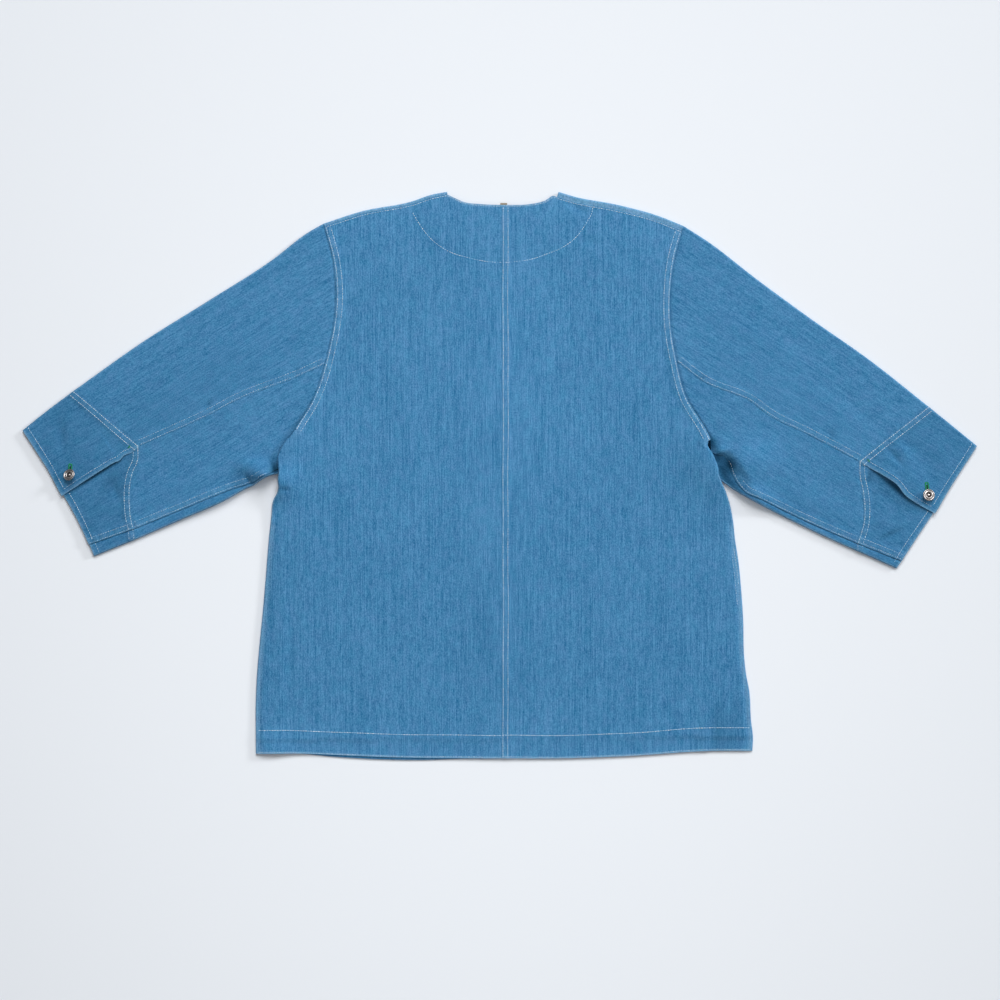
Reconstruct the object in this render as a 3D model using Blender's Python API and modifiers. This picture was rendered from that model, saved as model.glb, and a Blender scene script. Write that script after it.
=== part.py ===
"""Denim chore jacket without a collar, laid flat on a surface with its back up.

Every piece of the cut is a wall of cloth of its own. The fronts lie on the surface, the backs lie on
the fronts, and the sleeves and cuffs are flattened tubes. X runs across the jacket towards the
wearer's right, Y from hem to neck, and Z up from the surface. All sizes here are in millimetres.
"""

from collections import namedtuple

import bmesh
import bpy
import numpy as np

# Cloth
MM = 0.001
CLOTH = 1.2
SEAM_GAP = 0.3
FRONT_LEVEL = CLOTH / 2
BACK_LEVEL = 3.9
FOLD_REACH = 1.6
FOLD_INSET = FOLD_REACH + CLOTH / 2
CORNER_EASE = 2
HALF_FOLD = (45, 80, 90)
WHOLE_FOLD = (45, 90, 135, 180)

# Number of net cells along each edge. The seat is the strip between the low fold and the underarm seam.
SIDE_CELLS = 12
SEAT_CELLS = 2
LOW_ARMHOLE_CELLS = 7
HIGH_ARMHOLE_CELLS = 7
FRONT_ARMHOLE_CELLS = 10
NECK_CELLS = 5
SHOULDER_CELLS = 6
SLEEVE_CELLS = 9
CUFF_CELLS = 4

# Centre back, centre front and neck
CENTRE_BACK = 5
CENTRE_HEM_Y = -338
CENTRE_NECK_Y = 325
LAP = 35
LAP_RISE = CLOTH + SEAM_GAP
LAP_SLOPE = 15
LAP_MARGIN = 3
FRONT_NECK_Y = 250
FRONT_NECK_SCOOP = [(0.06, 0.45), (0.4, 0.92)]
FRONT_NECK_CELLS = 6

# Cuff vents and buttons
VENT_UNDERLAP = 18
VENT_DIP = 0.6
VENT_START = 1 / CUFF_CELLS
VENT_LEVELS = (1, 1, 1, 0.7, 0.35, 0.1, 0, 0, 0)
UNDERLAP_LEVELS = (1, 1, 0.6, 0.25, 0, 0, 0, 0)
BUTTON_RADIUS = 7.2
SHANK_RADIUS = 2.4
SHANK_HEIGHT = 2.2
BUTTON_STEPS = 28

# Tape at the centre back neck
LOOP_WIDTH = 8.4
LOOP_LENGTH = 24
LOOP_SHOWS = 2.6
LOOP_THICKNESS = 1.0
LOOP_CELLS = 4

# Edges of the cut of each half, as the few places that a smooth line passes through. A side, shoulder,
# sleeve_top, sleeve_low, cuff_top or cuff_low is a fold, and these make the outline of the flat jacket.
# Body edges run from hem to neck and from the side inwards, sleeve edges from the body to the wrist, and
# seams round a sleeve from its vent or its top. Where another edge gives an end, it is left out.
LEFT = {
    "side": [(-292, -334), (-293, -268), (-282, -140), (-271, -34), (-265, -12), (-264, 2)],
    "shoulder": [(-63, 340), (-80, 338), (-107, 329), (-164, 318), (-211, 303)],
    "neck": [(-55, 334), (-44, 329), (-22, 326)],
    "back_hem": [(-204, -336), (-140, -338)],
    "front_hem": [(-200, -339), (-98, -342), (-40, -340)],
    "armhole": [(-264, 20), (-245, 55), (-223, 92), (-207, 141), (-196, 205), (-199, 258)],
    "front_armhole": [(-252, 25), (-215, 62), (-190, 120), (-184, 200), (-194, 262)],
    "sleeve_top": [(-211, 303), (-229, 294), (-274, 259), (-349, 211), (-427, 163), (-510, 103)],
    "cuff_top": [(-510, 103), (-546, 76), (-573, 53)],
    "sleeve_low": [(-264, 2), (-284, -6), (-328, -30), (-382, -54), (-436, -76)],
    "cuff_low": [(-436, -76), (-485, -95)],
    "wrist": [(-573, 53), (-537, -5), (-508, -53), (-485, -95)],
    "back_seam": [(-208, 134), (-245, 118), (-317, 90), (-347, 74), (-432, 36)],
    "underarm_seam": [(-303, -11), (-386, -42), (-438, -63)],
    "cuff_underarm": [(-438, -63), (-492, -82)],
    "cuff_seam": [(-432, 36), (-471, 69)],
    "under_cuff_seam": [(-432, 36), (-433, 16), (-439, -1), (-442, -23), (-441, -46), (-438, -63)],
    "front_cuff_seam": [(-470, 28), (-440, -30)],
    "vent": [(-432, 36), (-453, 21), (-475, 8), (-525, -21)],
}
RIGHT = {
    "side": [(304, -331), (300, -268), (290, -150), (282, -60), (278, -36), (272, -20), (266, -6)],
    "shoulder": [(71, 341), (91, 335), (139, 326), (191, 312), (221, 300)],
    "neck": [(66, 336), (54, 330), (36, 326)],
    "back_hem": [(257, -332), (150, -338), (75, -340)],
    "front_hem": [(257, -330), (150, -336), (75, -338)],
    "armhole": [(262, 9), (253, 38), (244, 63), (225, 92), (212, 139), (204, 200), (210, 262)],
    "front_armhole": [(252, 18), (222, 62), (198, 120), (192, 200), (204, 262)],
    "sleeve_top": [(221, 300), (248, 282), (310, 234), (376, 187), (443, 140), (514, 84)],
    "cuff_top": [(514, 84), (545, 59), (573, 36)],
    "sleeve_low": [(266, -6), (280, -17), (304, -31), (347, -53), (397, -78), (427, -91)],
    "cuff_low": [(427, -91), (476, -111)],
    "wrist": [(573, 36), (532, -29), (500, -77), (476, -111)],
    "back_seam": [(212, 138), (244, 114), (302, 89), (323, 73), (366, 52), (431, 18)],
    "underarm_seam": [(271, 17), (280, 1), (292, -16), (363, -50), (429, -79)],
    "cuff_underarm": [(429, -79), (483, -101)],
    "cuff_seam": [(431, 18), (471, 50)],
    "under_cuff_seam": [(431, 18), (431, 0), (435, -19), (437, -38), (436, -56), (429, -79)],
    "front_cuff_seam": [(468, 12), (436, -45)],
    "vent": [(431, 18), (460, 1), (477, -12), (490, -28), (522, -45)],
}

# Sizes that differ between the halves
Half = namedtuple("Half", "name cut turn wrap seat vent_rise button_place button_tilt lap_rise")
HALVES = [
    Half("left", LEFT, 1, 1.4, 5, 1.5, (-517, 1), 16, LAP_RISE),
    Half("right", RIGHT, -1, 4.6, 36, 2.6, (515, -23), 4, 0),
]

# Largest folds of the upper layer: a soft ridge or trough along a line through its middle
Fold = namedtuple("Fold", "cloth x y turn half_length half_width rise")
FOLDS = [
    Fold("body", -247, 48, 64, 42, 16, 1.5),
    Fold("body", 252, 36, 113, 50, 16, 1.9),
    Fold("body", 0, 40, 90, 220, 130, 0.5),
    Fold("body", 250, -317, 88, 55, 9, 1.3),
    Fold("body", -272, -18, 150, 24, 6, 0.9),
    Fold("sleeve", -255, 42, 64, 42, 13, -0.9),
    Fold("sleeve", 262, 30, 113, 46, 14, -1.1),
    Fold("sleeve", -365, 95, 34, 120, 42, 1.3),
    Fold("sleeve", 372, 75, 144, 120, 42, 1.3),
    Fold("sleeve", -405, -25, 25, 70, 14, 0.8),
    Fold("sleeve", 395, -40, 155, 70, 14, 0.8),
    Fold("cuff", -512, 48, 40, 45, 20, 0.7),
    Fold("cuff", 512, 32, 140, 45, 20, 0.7),
]

# Button section from the top of its dome to the foot of its shank: distance from the axis, height
BUTTON_SECTION = [
    (0.0, 2.3),
    (1.9, 2.1),
    (3.2, 1.3),
    (3.9, 1.2),
    (4.6, 1.9),
    (5.8, 2.2),
    (6.8, 1.8),
    (BUTTON_RADIUS, 1.0),
    (6.7, 0.2),
    (SHANK_RADIUS, 0.0),
    (SHANK_RADIUS, -SHANK_HEIGHT),
    (0.0, -SHANK_HEIGHT),
]

# Materials: colour, roughness, metallic
DENIM = ("light_denim", (0.065, 0.22, 0.43, 1), 0.9, 0.0)
SILVER = ("antique_silver", (0.42, 0.42, 0.40, 1), 0.38, 1.0)
TAPE = ("tan_tape", (0.42, 0.36, 0.27, 1), 0.9, 0.0)


def along(line):
    """Distance from the start of a line to each of its points, as a share of its length."""
    steps = np.linalg.norm(np.diff(line, axis=0), axis=1)
    run = np.concatenate([[0], np.cumsum(steps)])
    return run / run[-1]


def smooth(places, points_between=40):
    """Fine points on a smooth curve through a few places."""
    places = np.array(places, float)
    run = along(places)
    slope = np.gradient(places, run, axis=0)
    fine = np.linspace(0, 1, points_between * (len(places) - 1) + 1)
    span = np.clip(np.searchsorted(run, fine, side="right") - 1, 0, len(run) - 2)
    width = (run[span + 1] - run[span])[:, None]
    part = (fine - run[span])[:, None] / width
    return (
        places[span] * (1 + 2 * part) * (1 - part) ** 2
        + slope[span] * width * part * (1 - part) ** 2
        + places[span + 1] * (3 - 2 * part) * part**2
        - slope[span + 1] * width * part**2 * (1 - part)
    )


def spaced(line, shares):
    """Points of a line at the given shares of its length."""
    run = along(line)
    return np.stack([np.interp(shares, run, line[:, axis]) for axis in (0, 1)], axis=1)


def even(line, cells):
    """Points that divide a line into equal cells."""
    return spaced(line, np.linspace(0, 1, cells + 1))


def share_of(line, place):
    """Share of a line's length at its point nearest to a place."""
    return along(line)[np.argmin(np.linalg.norm(line - np.array(place, float), axis=1))]


def chain(*lines):
    """Joins lines that start where the one before ends."""
    return np.concatenate([lines[0]] + [line[1:] for line in lines[1:]])


def outward(line, turn):
    """Direction out of the jacket at each point of its outline, lengthened at corners."""
    step = np.diff(line, axis=0)
    step /= np.linalg.norm(step, axis=1)[:, None]
    normal = turn * np.stack([-step[:, 1], step[:, 0]], axis=1)
    before = np.concatenate([normal[:1], normal])
    after = np.concatenate([normal, normal[-1:]])
    mean = before + after
    mean /= np.linalg.norm(mean, axis=1)[:, None]
    return mean / np.sum(mean * after, axis=1)[:, None]


def fill(first_row, last_row, first_column, last_column):
    """Net of points spread evenly between the four edges of a panel."""
    across = np.stack([along(first_row), along(last_row)])
    up = np.stack([along(first_column), along(last_column)], axis=1)
    middle_up = up.mean(axis=1)[:, None]
    u = (1 - middle_up) * across[0] + middle_up * across[1]
    v = (1 - u) * up[:, :1] + u * up[:, 1:]
    u, v = u[..., None], v[..., None]
    sides = (1 - u) * first_column[:, None] + u * last_column[:, None]
    ends = (1 - v) * first_row + v * last_row
    corners = (1 - v) * ((1 - u) * first_row[0] + u * first_row[-1])
    corners = corners + v * ((1 - u) * last_row[0] + u * last_row[-1])
    return sides + ends - corners


def back_height(cloth, plan):
    """Height of the middle of the upper layer, with its folds, at points in plan."""
    height = np.full(plan.shape[:-1], float(BACK_LEVEL))
    for fold in FOLDS:
        if fold.cloth == cloth:
            angle = np.radians(fold.turn)
            apart = plan - np.array([fold.x, fold.y])
            length = apart @ np.array([np.cos(angle), np.sin(angle)]) / fold.half_length
            width = apart @ np.array([-np.sin(angle), np.cos(angle)]) / fold.half_width
            height += fold.rise * np.exp(-(length**2) - width**2)
    return height


def raised(plan, height):
    """Points in space from points in plan and their heights."""
    height = np.broadcast_to(np.asarray(height, float), plan.shape[:-1])
    return np.concatenate([plan, height[..., None]], axis=-1)


def folded_edge(cloth, inset, out, angles):
    """Columns of points round a folded edge, from the upper layer down towards the lower one."""
    half_rise = (back_height(cloth, inset) - FRONT_LEVEL) / 2
    columns = []
    for angle in np.radians(angles):
        plan = inset + out * FOLD_REACH * np.sin(angle)
        columns.append(raised(plan, FRONT_LEVEL + half_rise * (1 + np.cos(angle))))
    return np.stack(columns, axis=1)


def direction(net, axis):
    """Unit steps along the rows or columns of a net, one-sided beside places that are left out."""
    ahead = np.full(net.shape, np.nan)
    behind = np.full(net.shape, np.nan)
    step = np.diff(net, axis=axis)
    step /= np.linalg.norm(step, axis=2)[..., None]
    if axis == 0:
        ahead[:-1], behind[1:] = step, step
    else:
        ahead[:, :-1], behind[:, 1:] = step, step
    return np.where(np.isnan(ahead), behind, ahead), np.where(np.isnan(behind), ahead, behind)


def eased(net):
    """Draws the outline of a net in by half of the seam gap, so that sewn pieces stay apart."""
    rows, columns = net.shape[:2]
    there = ~np.isnan(net[..., 0])
    cell = there[:-1, :-1] & there[1:, :-1] & there[:-1, 1:] & there[1:, 1:]
    padded = np.zeros((rows + 1, columns + 1), bool)
    padded[1:-1, 1:-1] = cell
    around = {
        (up, side): padded[up : up + rows, side : side + columns] for up in (0, 1) for side in (0, 1)
    }
    moved = net.copy()
    for axis in (0, 1):
        ahead, behind = direction(net, axis)
        missing = np.zeros((rows, columns))
        for corner, present in around.items():
            missing += ~present * (1 if corner[axis] == 0 else -1)
        inward = np.where((missing > 0)[..., None], ahead, behind)
        pull = np.sign(missing)[..., None] * inward * SEAM_GAP / 2
        moved += np.where((missing != 0)[..., None], pull, 0)
    return moved


def material(finish):
    """Material with a finish's colour, roughness and metallic value."""
    name, colour, roughness, metallic = finish
    made = bpy.data.materials.get(name)
    if made is None:
        made = bpy.data.materials.new(name)
        made.use_nodes = True
        shader = made.node_tree.nodes["Principled BSDF"]
        shader.inputs["Base Color"].default_value = colour
        shader.inputs["Roughness"].default_value = roughness
        shader.inputs["Metallic"].default_value = metallic
    return made


def place(name, mesh, finish):
    """Puts a mesh into the jacket's collection as a named piece."""
    mesh.materials.append(material(finish))
    piece = bpy.data.objects.new(name, mesh)
    jacket.objects.link(piece)
    return piece


def sew_piece(name, net, finish=DENIM, thickness=CLOTH):
    """Wall of cloth on a net of points, rows by columns, without the places that are not a number."""
    rows, columns = net.shape[:2]
    sheet = bmesh.new()
    bmesh.ops.create_grid(sheet, x_segments=columns - 1, y_segments=rows - 1, size=1)
    ordered = sorted(sheet.verts, key=lambda vertex: (round(vertex.co.y, 4), round(vertex.co.x, 4)))
    left_out = []
    for vertex, point in zip(ordered, net.reshape(-1, 3)):
        if np.isnan(point[0]):
            left_out.append(vertex)
        else:
            vertex.co = point * MM
    bmesh.ops.delete(sheet, geom=left_out, context="VERTS")
    mesh = bpy.data.meshes.new(name)
    sheet.to_mesh(mesh)
    sheet.free()
    mesh.shade_smooth()
    piece = place(name, mesh, finish)
    wall = piece.modifiers.new("Cloth", "SOLIDIFY")
    wall.thickness = thickness * MM
    wall.offset = 0
    return piece


def edge_lines(half):
    """Every edge of one half as points in plan, shared by the pieces on its two sides."""
    cut, turn = half.cut, half.turn
    lines = {}

    # Fold lines of the outline, and the lines where the cloth starts to round over
    low = chain(
        even(smooth(cut["side"]), SIDE_CELLS),
        even(smooth(cut["sleeve_low"]), SLEEVE_CELLS),
        even(smooth(cut["cuff_low"]), CUFF_CELLS),
    )
    high = chain(
        even(smooth(cut["shoulder"]), SHOULDER_CELLS),
        even(smooth(cut["sleeve_top"]), SLEEVE_CELLS),
        even(smooth(cut["cuff_top"]), CUFF_CELLS),
    )
    outlines = {"low": (low, turn, SIDE_CELLS), "high": (high, -turn, SHOULDER_CELLS)}
    for name, (line, hand, body_cells) in outlines.items():
        out = outward(line, hand)
        inset = line - out * FOLD_INSET
        stretches = {
            "body": slice(0, body_cells + 1),
            "sleeve": slice(body_cells, body_cells + SLEEVE_CELLS + 1),
            "cuff": slice(body_cells + SLEEVE_CELLS, None),
        }
        for part, stretch in stretches.items():
            lines[f"{part}_{name}"] = inset[stretch]
            lines[f"{part}_{name}_out"] = out[stretch]
    underarm, shoulder = lines["sleeve_low"][0], lines["sleeve_high"][0]

    # Armhole on the back, in the stretches that meet the underarm strip, under sleeve and top sleeve
    armhole = smooth([underarm, *cut["armhole"], shoulder])
    length = np.linalg.norm(np.diff(armhole, axis=0), axis=1).sum()
    seat, wrap_start = half.seat / length, 1 - half.wrap / length
    crossing = share_of(armhole, cut["back_seam"][0])
    lines["seat"] = spaced(armhole, np.linspace(0, seat, SEAT_CELLS + 1))
    lines["low_armhole"] = spaced(armhole, np.linspace(seat, crossing, LOW_ARMHOLE_CELLS + 1))
    lines["high_armhole"] = spaced(armhole, np.linspace(crossing, wrap_start, HIGH_ARMHOLE_CELLS + 1))
    front_armhole = smooth([underarm, *cut["front_armhole"], shoulder])
    lines["front_armhole"] = even(front_armhole, FRONT_ARMHOLE_CELLS)

    # Seams along the sleeve and across it at the cuff
    crossing_point, seat_point = lines["low_armhole"][-1], lines["low_armhole"][0]
    lines["back_seam"] = even(smooth([crossing_point, *cut["back_seam"][1:]]), SLEEVE_CELLS)
    underarm_seam = smooth([seat_point, *cut["underarm_seam"]])
    beside_fold = [share_of(underarm_seam, spot) for spot in lines["sleeve_low"][1:-1]]
    lines["underarm_seam"] = spaced(underarm_seam, np.array([0, *beside_fold, 1]))
    lines["cuff_underarm"] = even(smooth(cut["cuff_underarm"]), CUFF_CELLS)
    cuff_high, cuff_low = lines["cuff_high"][0], lines["cuff_low"][0]
    lines["cuff_seam"] = even(smooth([*cut["cuff_seam"], cuff_high]), HIGH_ARMHOLE_CELLS + 1)
    lines["under_cuff_seam"] = even(smooth(cut["under_cuff_seam"]), LOW_ARMHOLE_CELLS)
    front_cuff_seam = smooth([cuff_high, *cut["front_cuff_seam"], cuff_low])
    lines["front_cuff_seam"] = even(front_cuff_seam, FRONT_ARMHOLE_CELLS)
    lines["seat_cuff_seam"] = even(np.array([cuff_low, cut["underarm_seam"][-1]]), SEAT_CELLS)

    # Wrist edge and cuff vent
    wrist = smooth(cut["wrist"])
    wrist_high, wrist_low = lines["cuff_high"][-1], lines["cuff_low"][-1]
    vent_end, seam_end = np.array(cut["vent"][-1], float), np.array(cut["cuff_underarm"][-1], float)
    vent_share, underarm_share = share_of(wrist, vent_end), share_of(wrist, seam_end)
    lines["vent"] = even(smooth(cut["vent"]), CUFF_CELLS)
    lines["wrist_top"] = spaced(wrist, np.linspace(vent_share, 0, HIGH_ARMHOLE_CELLS + 2))
    lines["wrist_under"] = spaced(wrist, np.linspace(vent_share, underarm_share, LOW_ARMHOLE_CELLS + 1))
    lines["wrist_front"] = even(wrist, FRONT_ARMHOLE_CELLS)
    lines["wrist_top"][0] = lines["wrist_under"][0] = vent_end
    lines["wrist_top"][-1] = lines["wrist_front"][0] = wrist_high
    lines["wrist_front"][-1] = wrist_low
    lines["wrist_under"][-1] = seam_end

    # Shoulder seam, just behind the fold that the front wraps over, and the two necklines
    seam = lines["body_high"] - lines["body_high_out"] * half.wrap
    seam[-1] = lines["high_armhole"][-1]
    lines["shoulder_seam"] = seam
    centre_neck = (CENTRE_BACK, CENTRE_NECK_Y)
    lines["neck"] = even(smooth([seam[0], *cut["neck"], centre_neck]), NECK_CELLS)
    return lines


def make_back(half, lines):
    """Back panel: flat from the centre back to the armhole, half folded down along the side."""
    outer = chain(lines["body_low"], lines["seat"], lines["low_armhole"], lines["high_armhole"])
    top = chain(lines["neck"][::-1], lines["shoulder_seam"])
    corner = lines["body_low"][0]
    hem = smooth([corner, *half.cut["back_hem"], (CENTRE_BACK, CENTRE_HEM_Y)])[::-1]
    centre = np.array([hem[0], top[0]])
    plan = fill(spaced(hem, along(top)), top, spaced(centre, along(outer)), outer)
    net = raised(plan, back_height("body", plan))
    side = folded_edge("body", lines["body_low"], lines["body_low_out"], HALF_FOLD)
    net = np.concatenate([net, np.full((len(net), len(HALF_FOLD), 3), np.nan)], axis=1)
    net[: SIDE_CELLS + 1, -len(HALF_FOLD) :] = side
    net = eased(net)
    ease_corner(net[:, -len(HALF_FOLD) :], SIDE_CELLS, SIDE_CELLS - 1)
    sew_piece(f"back_{half.name}", net)


def ease_corner(columns, end, before):
    """Draws the end of a fold back from the underarm, where two folded edges meet at a corner."""
    step = columns[before] - columns[end]
    columns[end] += step / np.linalg.norm(step, axis=1)[:, None] * CORNER_EASE


def make_front(half, lines):
    """Front panel: flat on the surface, half folded up at the side, wrapped over the shoulder."""
    outer = chain(lines["body_low"], lines["front_armhole"])
    shoulder = lines["body_high"][::-1]

    # Lines down the lap: where its slope starts, where it is past the other front's edge, and its own edge
    edge = CENTRE_BACK + half.turn * LAP / 2
    clear = CENTRE_BACK - half.turn * (LAP / 2 + LAP_MARGIN)
    across = np.array([clear - half.turn * LAP_SLOPE, clear, edge])

    # Hem and neckline, from the side and the shoulder to the edge of the lap
    hem = smooth([outer[0], *half.cut["front_hem"], (edge, CENTRE_HEM_Y)])
    low_neck = np.array([edge, FRONT_NECK_Y])
    scoop = shoulder[-1] + (low_neck - shoulder[-1]) * np.array(FRONT_NECK_SCOOP)
    neck = smooth([shoulder[-1], *scoop, low_neck])
    hem_ends, neck_ends = [
        np.stack([across, np.interp(half.turn * across, half.turn * line[:, 0], line[:, 1])], axis=1)
        for line in (hem, neck)
    ]
    neck_share = share_of(neck, neck_ends[0])
    side_neck = spaced(neck, np.linspace(neck_share, 0, FRONT_NECK_CELLS + 1))
    lap_start = even(np.array([hem_ends[0], side_neck[0]]), len(outer) - 1 - FRONT_NECK_CELLS)

    # The panel up to the lap, and the lap itself
    side_hem = spaced(hem, along(shoulder) * share_of(hem, hem_ends[0]))
    panel = fill(side_hem, shoulder, outer, chain(lap_start, side_neck))
    lap_edge = even(np.array([hem_ends[-1], neck_ends[-1]]), len(lap_start) - 1)
    neck_ends[0] = side_neck[0]
    lap = fill(hem_ends, neck_ends, lap_start, lap_edge)[:, 1:]

    # The net has extra columns before the side and for the lap, and extra rows beyond the shoulder
    folds, wraps, laps = len(HALF_FOLD), len(WHOLE_FOLD) + 1, lap.shape[1]
    rows, columns = panel.shape[:2]
    net = np.full((rows + wraps, folds + columns + laps, 3), np.nan)
    net[:rows, folds : folds + columns] = raised(panel, FRONT_LEVEL)
    net[: len(lap), folds + columns :] = raised(lap, FRONT_LEVEL + half.lap_rise)
    under = [180 - angle for angle in HALF_FOLD]
    side = folded_edge("body", lines["body_low"], lines["body_low_out"], under)
    net[: SIDE_CELLS + 1, :folds] = side[:, ::-1]
    over = folded_edge("body", shoulder, lines["body_high_out"][::-1], [180 - a for a in WHOLE_FOLD])
    seam = lines["shoulder_seam"][::-1]
    net[rows:-1, folds : folds + columns] = over.transpose(1, 0, 2)
    net[-1, folds : folds + columns] = raised(seam, back_height("body", seam))
    net = eased(net)
    ease_corner(net[:, :folds], SIDE_CELLS, SIDE_CELLS - 1)
    sew_piece(f"front_{half.name}", net)


def make_tube_piece(name, cloth, rows, lines, part, top_rise):
    """Upper piece of a sleeve or cuff, from its back edge round the front to the underarm seam."""
    high, low = lines[f"{part}_high"], lines[f"{part}_low"]
    top = fill(rows["top"][0], rows["top"][1], rows["back_edge"], high)
    front = fill(rows["front"][0], rows["front"][1], high, low)
    strip = np.linspace(low, rows["underarm"], SEAT_CELLS + 1, axis=1)
    strip[0] = rows["seat"]
    over = folded_edge(cloth, high, lines[f"{part}_high_out"], WHOLE_FOLD)
    under = folded_edge(cloth, low, lines[f"{part}_low_out"], WHOLE_FOLD)[:, ::-1]
    low_top = raised(low, back_height(cloth, low))[:, None]
    net = np.concatenate([
        raised(top, back_height(cloth, top) + top_rise),
        over,
        raised(front[:, 1:], FRONT_LEVEL),
        under[:, 1:],
        low_top,
        raised(strip[:, 1:], back_height(cloth, strip[:, 1:])),
    ], axis=1)
    net = eased(net)
    if part == "sleeve":
        fold_end = net.shape[1] - SEAT_CELLS - 1
        ease_corner(net[:, fold_end - len(WHOLE_FOLD) + 1 : fold_end], 0, 1)
    sew_piece(name, net)


def make_sleeve(half, lines):
    """Two-piece sleeve: a top sleeve that goes round the arm, and an under sleeve at the back."""
    rows = {
        "top": (np.vstack([lines["high_armhole"], lines["sleeve_high"][:1]]), lines["cuff_seam"]),
        "back_edge": lines["back_seam"],
        "front": (lines["front_armhole"][::-1], lines["front_cuff_seam"]),
        "seat": lines["seat"],
        "underarm": lines["underarm_seam"],
    }
    make_tube_piece(f"top_sleeve_{half.name}", "sleeve", rows, lines, "sleeve", 0)
    plan = fill(
        lines["low_armhole"][::-1], lines["under_cuff_seam"], lines["back_seam"], lines["underarm_seam"]
    )
    sew_piece(f"under_sleeve_{half.name}", eased(raised(plan, back_height("sleeve", plan))))


def make_cuff(half, lines):
    """Shaped cuff: the upper piece laps over an underlap of the under piece along the vent."""
    down = np.linspace(0, 1, CUFF_CELLS + 1)[:, None]
    opened = np.clip(down / VENT_START, 0, 1)
    rows = {
        "top": (lines["cuff_seam"], lines["wrist_top"]),
        "back_edge": lines["vent"],
        "front": (lines["front_cuff_seam"], lines["wrist_front"]),
        "seat": lines["seat_cuff_seam"],
        "underarm": lines["cuff_underarm"],
    }
    rise = opened * half.vent_rise * np.array(VENT_LEVELS)
    make_tube_piece(f"cuff_top_{half.name}", "cuff", rows, lines, "cuff", rise)
    lap = VENT_UNDERLAP * np.clip((down - VENT_START) / (1 - VENT_START), 0, 1)
    across = lines["wrist_top"][-1] - lines["wrist_top"][0]
    edge = lines["vent"] + lap * across / np.linalg.norm(across)
    wrist = lines["wrist_under"].copy()
    wrist[0] = edge[-1]
    plan = fill(lines["under_cuff_seam"], wrist, edge, lines["cuff_underarm"])
    dip = opened * VENT_DIP * np.array(UNDERLAP_LEVELS)
    sew_piece(f"cuff_under_{half.name}", eased(raised(plan, back_height("cuff", plan) - dip)))


def make_button(half):
    """Turned metal button on a short shank, standing just above the upper cuff piece."""
    mesh = bpy.data.meshes.new(f"cuff_button_{half.name}")
    section = bmesh.new()
    corners = [section.verts.new((x * MM, 0, z * MM)) for x, z in BUTTON_SECTION]
    for upper, lower in zip(corners, corners[1:]):
        section.edges.new((upper, lower))
    section.to_mesh(mesh)
    section.free()
    button = place(mesh.name, mesh, SILVER)
    turned = button.modifiers.new("Turned", "SCREW")
    turned.steps = turned.render_steps = BUTTON_STEPS
    turned.use_merge_vertices = True
    turned.merge_threshold = MM / 100
    turned.use_smooth_shade = True
    tilt = np.radians(half.button_tilt)
    spot = np.array(half.button_place, float)
    cuff_face = back_height("cuff", spot[None])[0] + half.vent_rise + CLOTH / 2
    foot = SHANK_HEIGHT * np.cos(tilt) + SHANK_RADIUS * np.sin(tilt)
    rim = BUTTON_RADIUS * np.sin(tilt)
    height = cuff_face + SEAM_GAP + max(foot, rim)
    button.location = (spot[0] * MM, spot[1] * MM, height * MM)
    button.rotation_euler = (tilt, 0, 0)


def make_neck_loop():
    """Plain tape sewn in under the centre back neck, with its end showing above the edge."""
    across = np.array([-LOOP_WIDTH / 2, LOOP_WIDTH / 2]) + CENTRE_BACK
    down = np.linspace(LOOP_SHOWS, LOOP_SHOWS - LOOP_LENGTH, LOOP_CELLS + 1) + CENTRE_NECK_Y
    plan = np.stack(np.meshgrid(across, down), axis=-1)
    beneath = (CLOTH + LOOP_THICKNESS) / 2 + SEAM_GAP
    sew_piece("neck_loop", raised(plan, back_height("body", plan) - beneath), TAPE, LOOP_THICKNESS)


for old in list(bpy.data.objects):
    bpy.data.objects.remove(old, do_unlink=True)
jacket = bpy.data.collections.new("denim_chore_jacket")
bpy.context.scene.collection.children.link(jacket)

for this_half in HALVES:
    edges = edge_lines(this_half)
    make_back(this_half, edges)
    make_front(this_half, edges)
    make_sleeve(this_half, edges)
    make_cuff(this_half, edges)
    make_button(this_half)
make_neck_loop()
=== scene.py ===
"""Looks of the denim chore jacket, laid flat with its back up, on the frame of its solids.

Sizes are in millimetres until a mesh is made. X runs across the jacket towards the wearer's right,
Y from hem to neck, and Z up from the surface that the jacket lies on.
"""

from collections import namedtuple

import bpy
import numpy as np
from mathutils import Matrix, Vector


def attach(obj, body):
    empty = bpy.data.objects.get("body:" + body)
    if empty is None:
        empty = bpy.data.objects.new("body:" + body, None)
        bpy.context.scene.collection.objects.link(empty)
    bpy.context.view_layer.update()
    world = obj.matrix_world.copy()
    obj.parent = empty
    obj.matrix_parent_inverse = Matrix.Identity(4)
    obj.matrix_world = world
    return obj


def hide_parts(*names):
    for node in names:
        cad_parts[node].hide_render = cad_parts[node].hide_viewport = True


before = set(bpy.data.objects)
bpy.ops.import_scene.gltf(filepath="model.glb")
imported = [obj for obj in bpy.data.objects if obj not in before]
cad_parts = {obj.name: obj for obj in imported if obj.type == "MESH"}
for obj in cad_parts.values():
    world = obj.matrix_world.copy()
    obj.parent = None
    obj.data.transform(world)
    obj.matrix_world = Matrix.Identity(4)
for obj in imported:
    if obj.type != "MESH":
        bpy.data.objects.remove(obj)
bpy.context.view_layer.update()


# Fronts
# Two panels of washed denim that lie face down on the surface, the left one lapped over the right.
# Each turns up at its side and wraps over the shoulder to the seam with the back.
MM = 0.001
CLOTH = 1.2
FRONT_LEVEL = 0.75
BACK_LEVEL = 3.9
FOLD_REACH = 1.6
FOLD_FULLNESS = 0.45
FOLD_INSET = FOLD_REACH + CLOTH / 2
SIDE_FOLD = np.linspace(12, 90, 8)
WHOLE_FOLD = np.linspace(15, 180, 12)
CENTRE_BACK = 3
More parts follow.
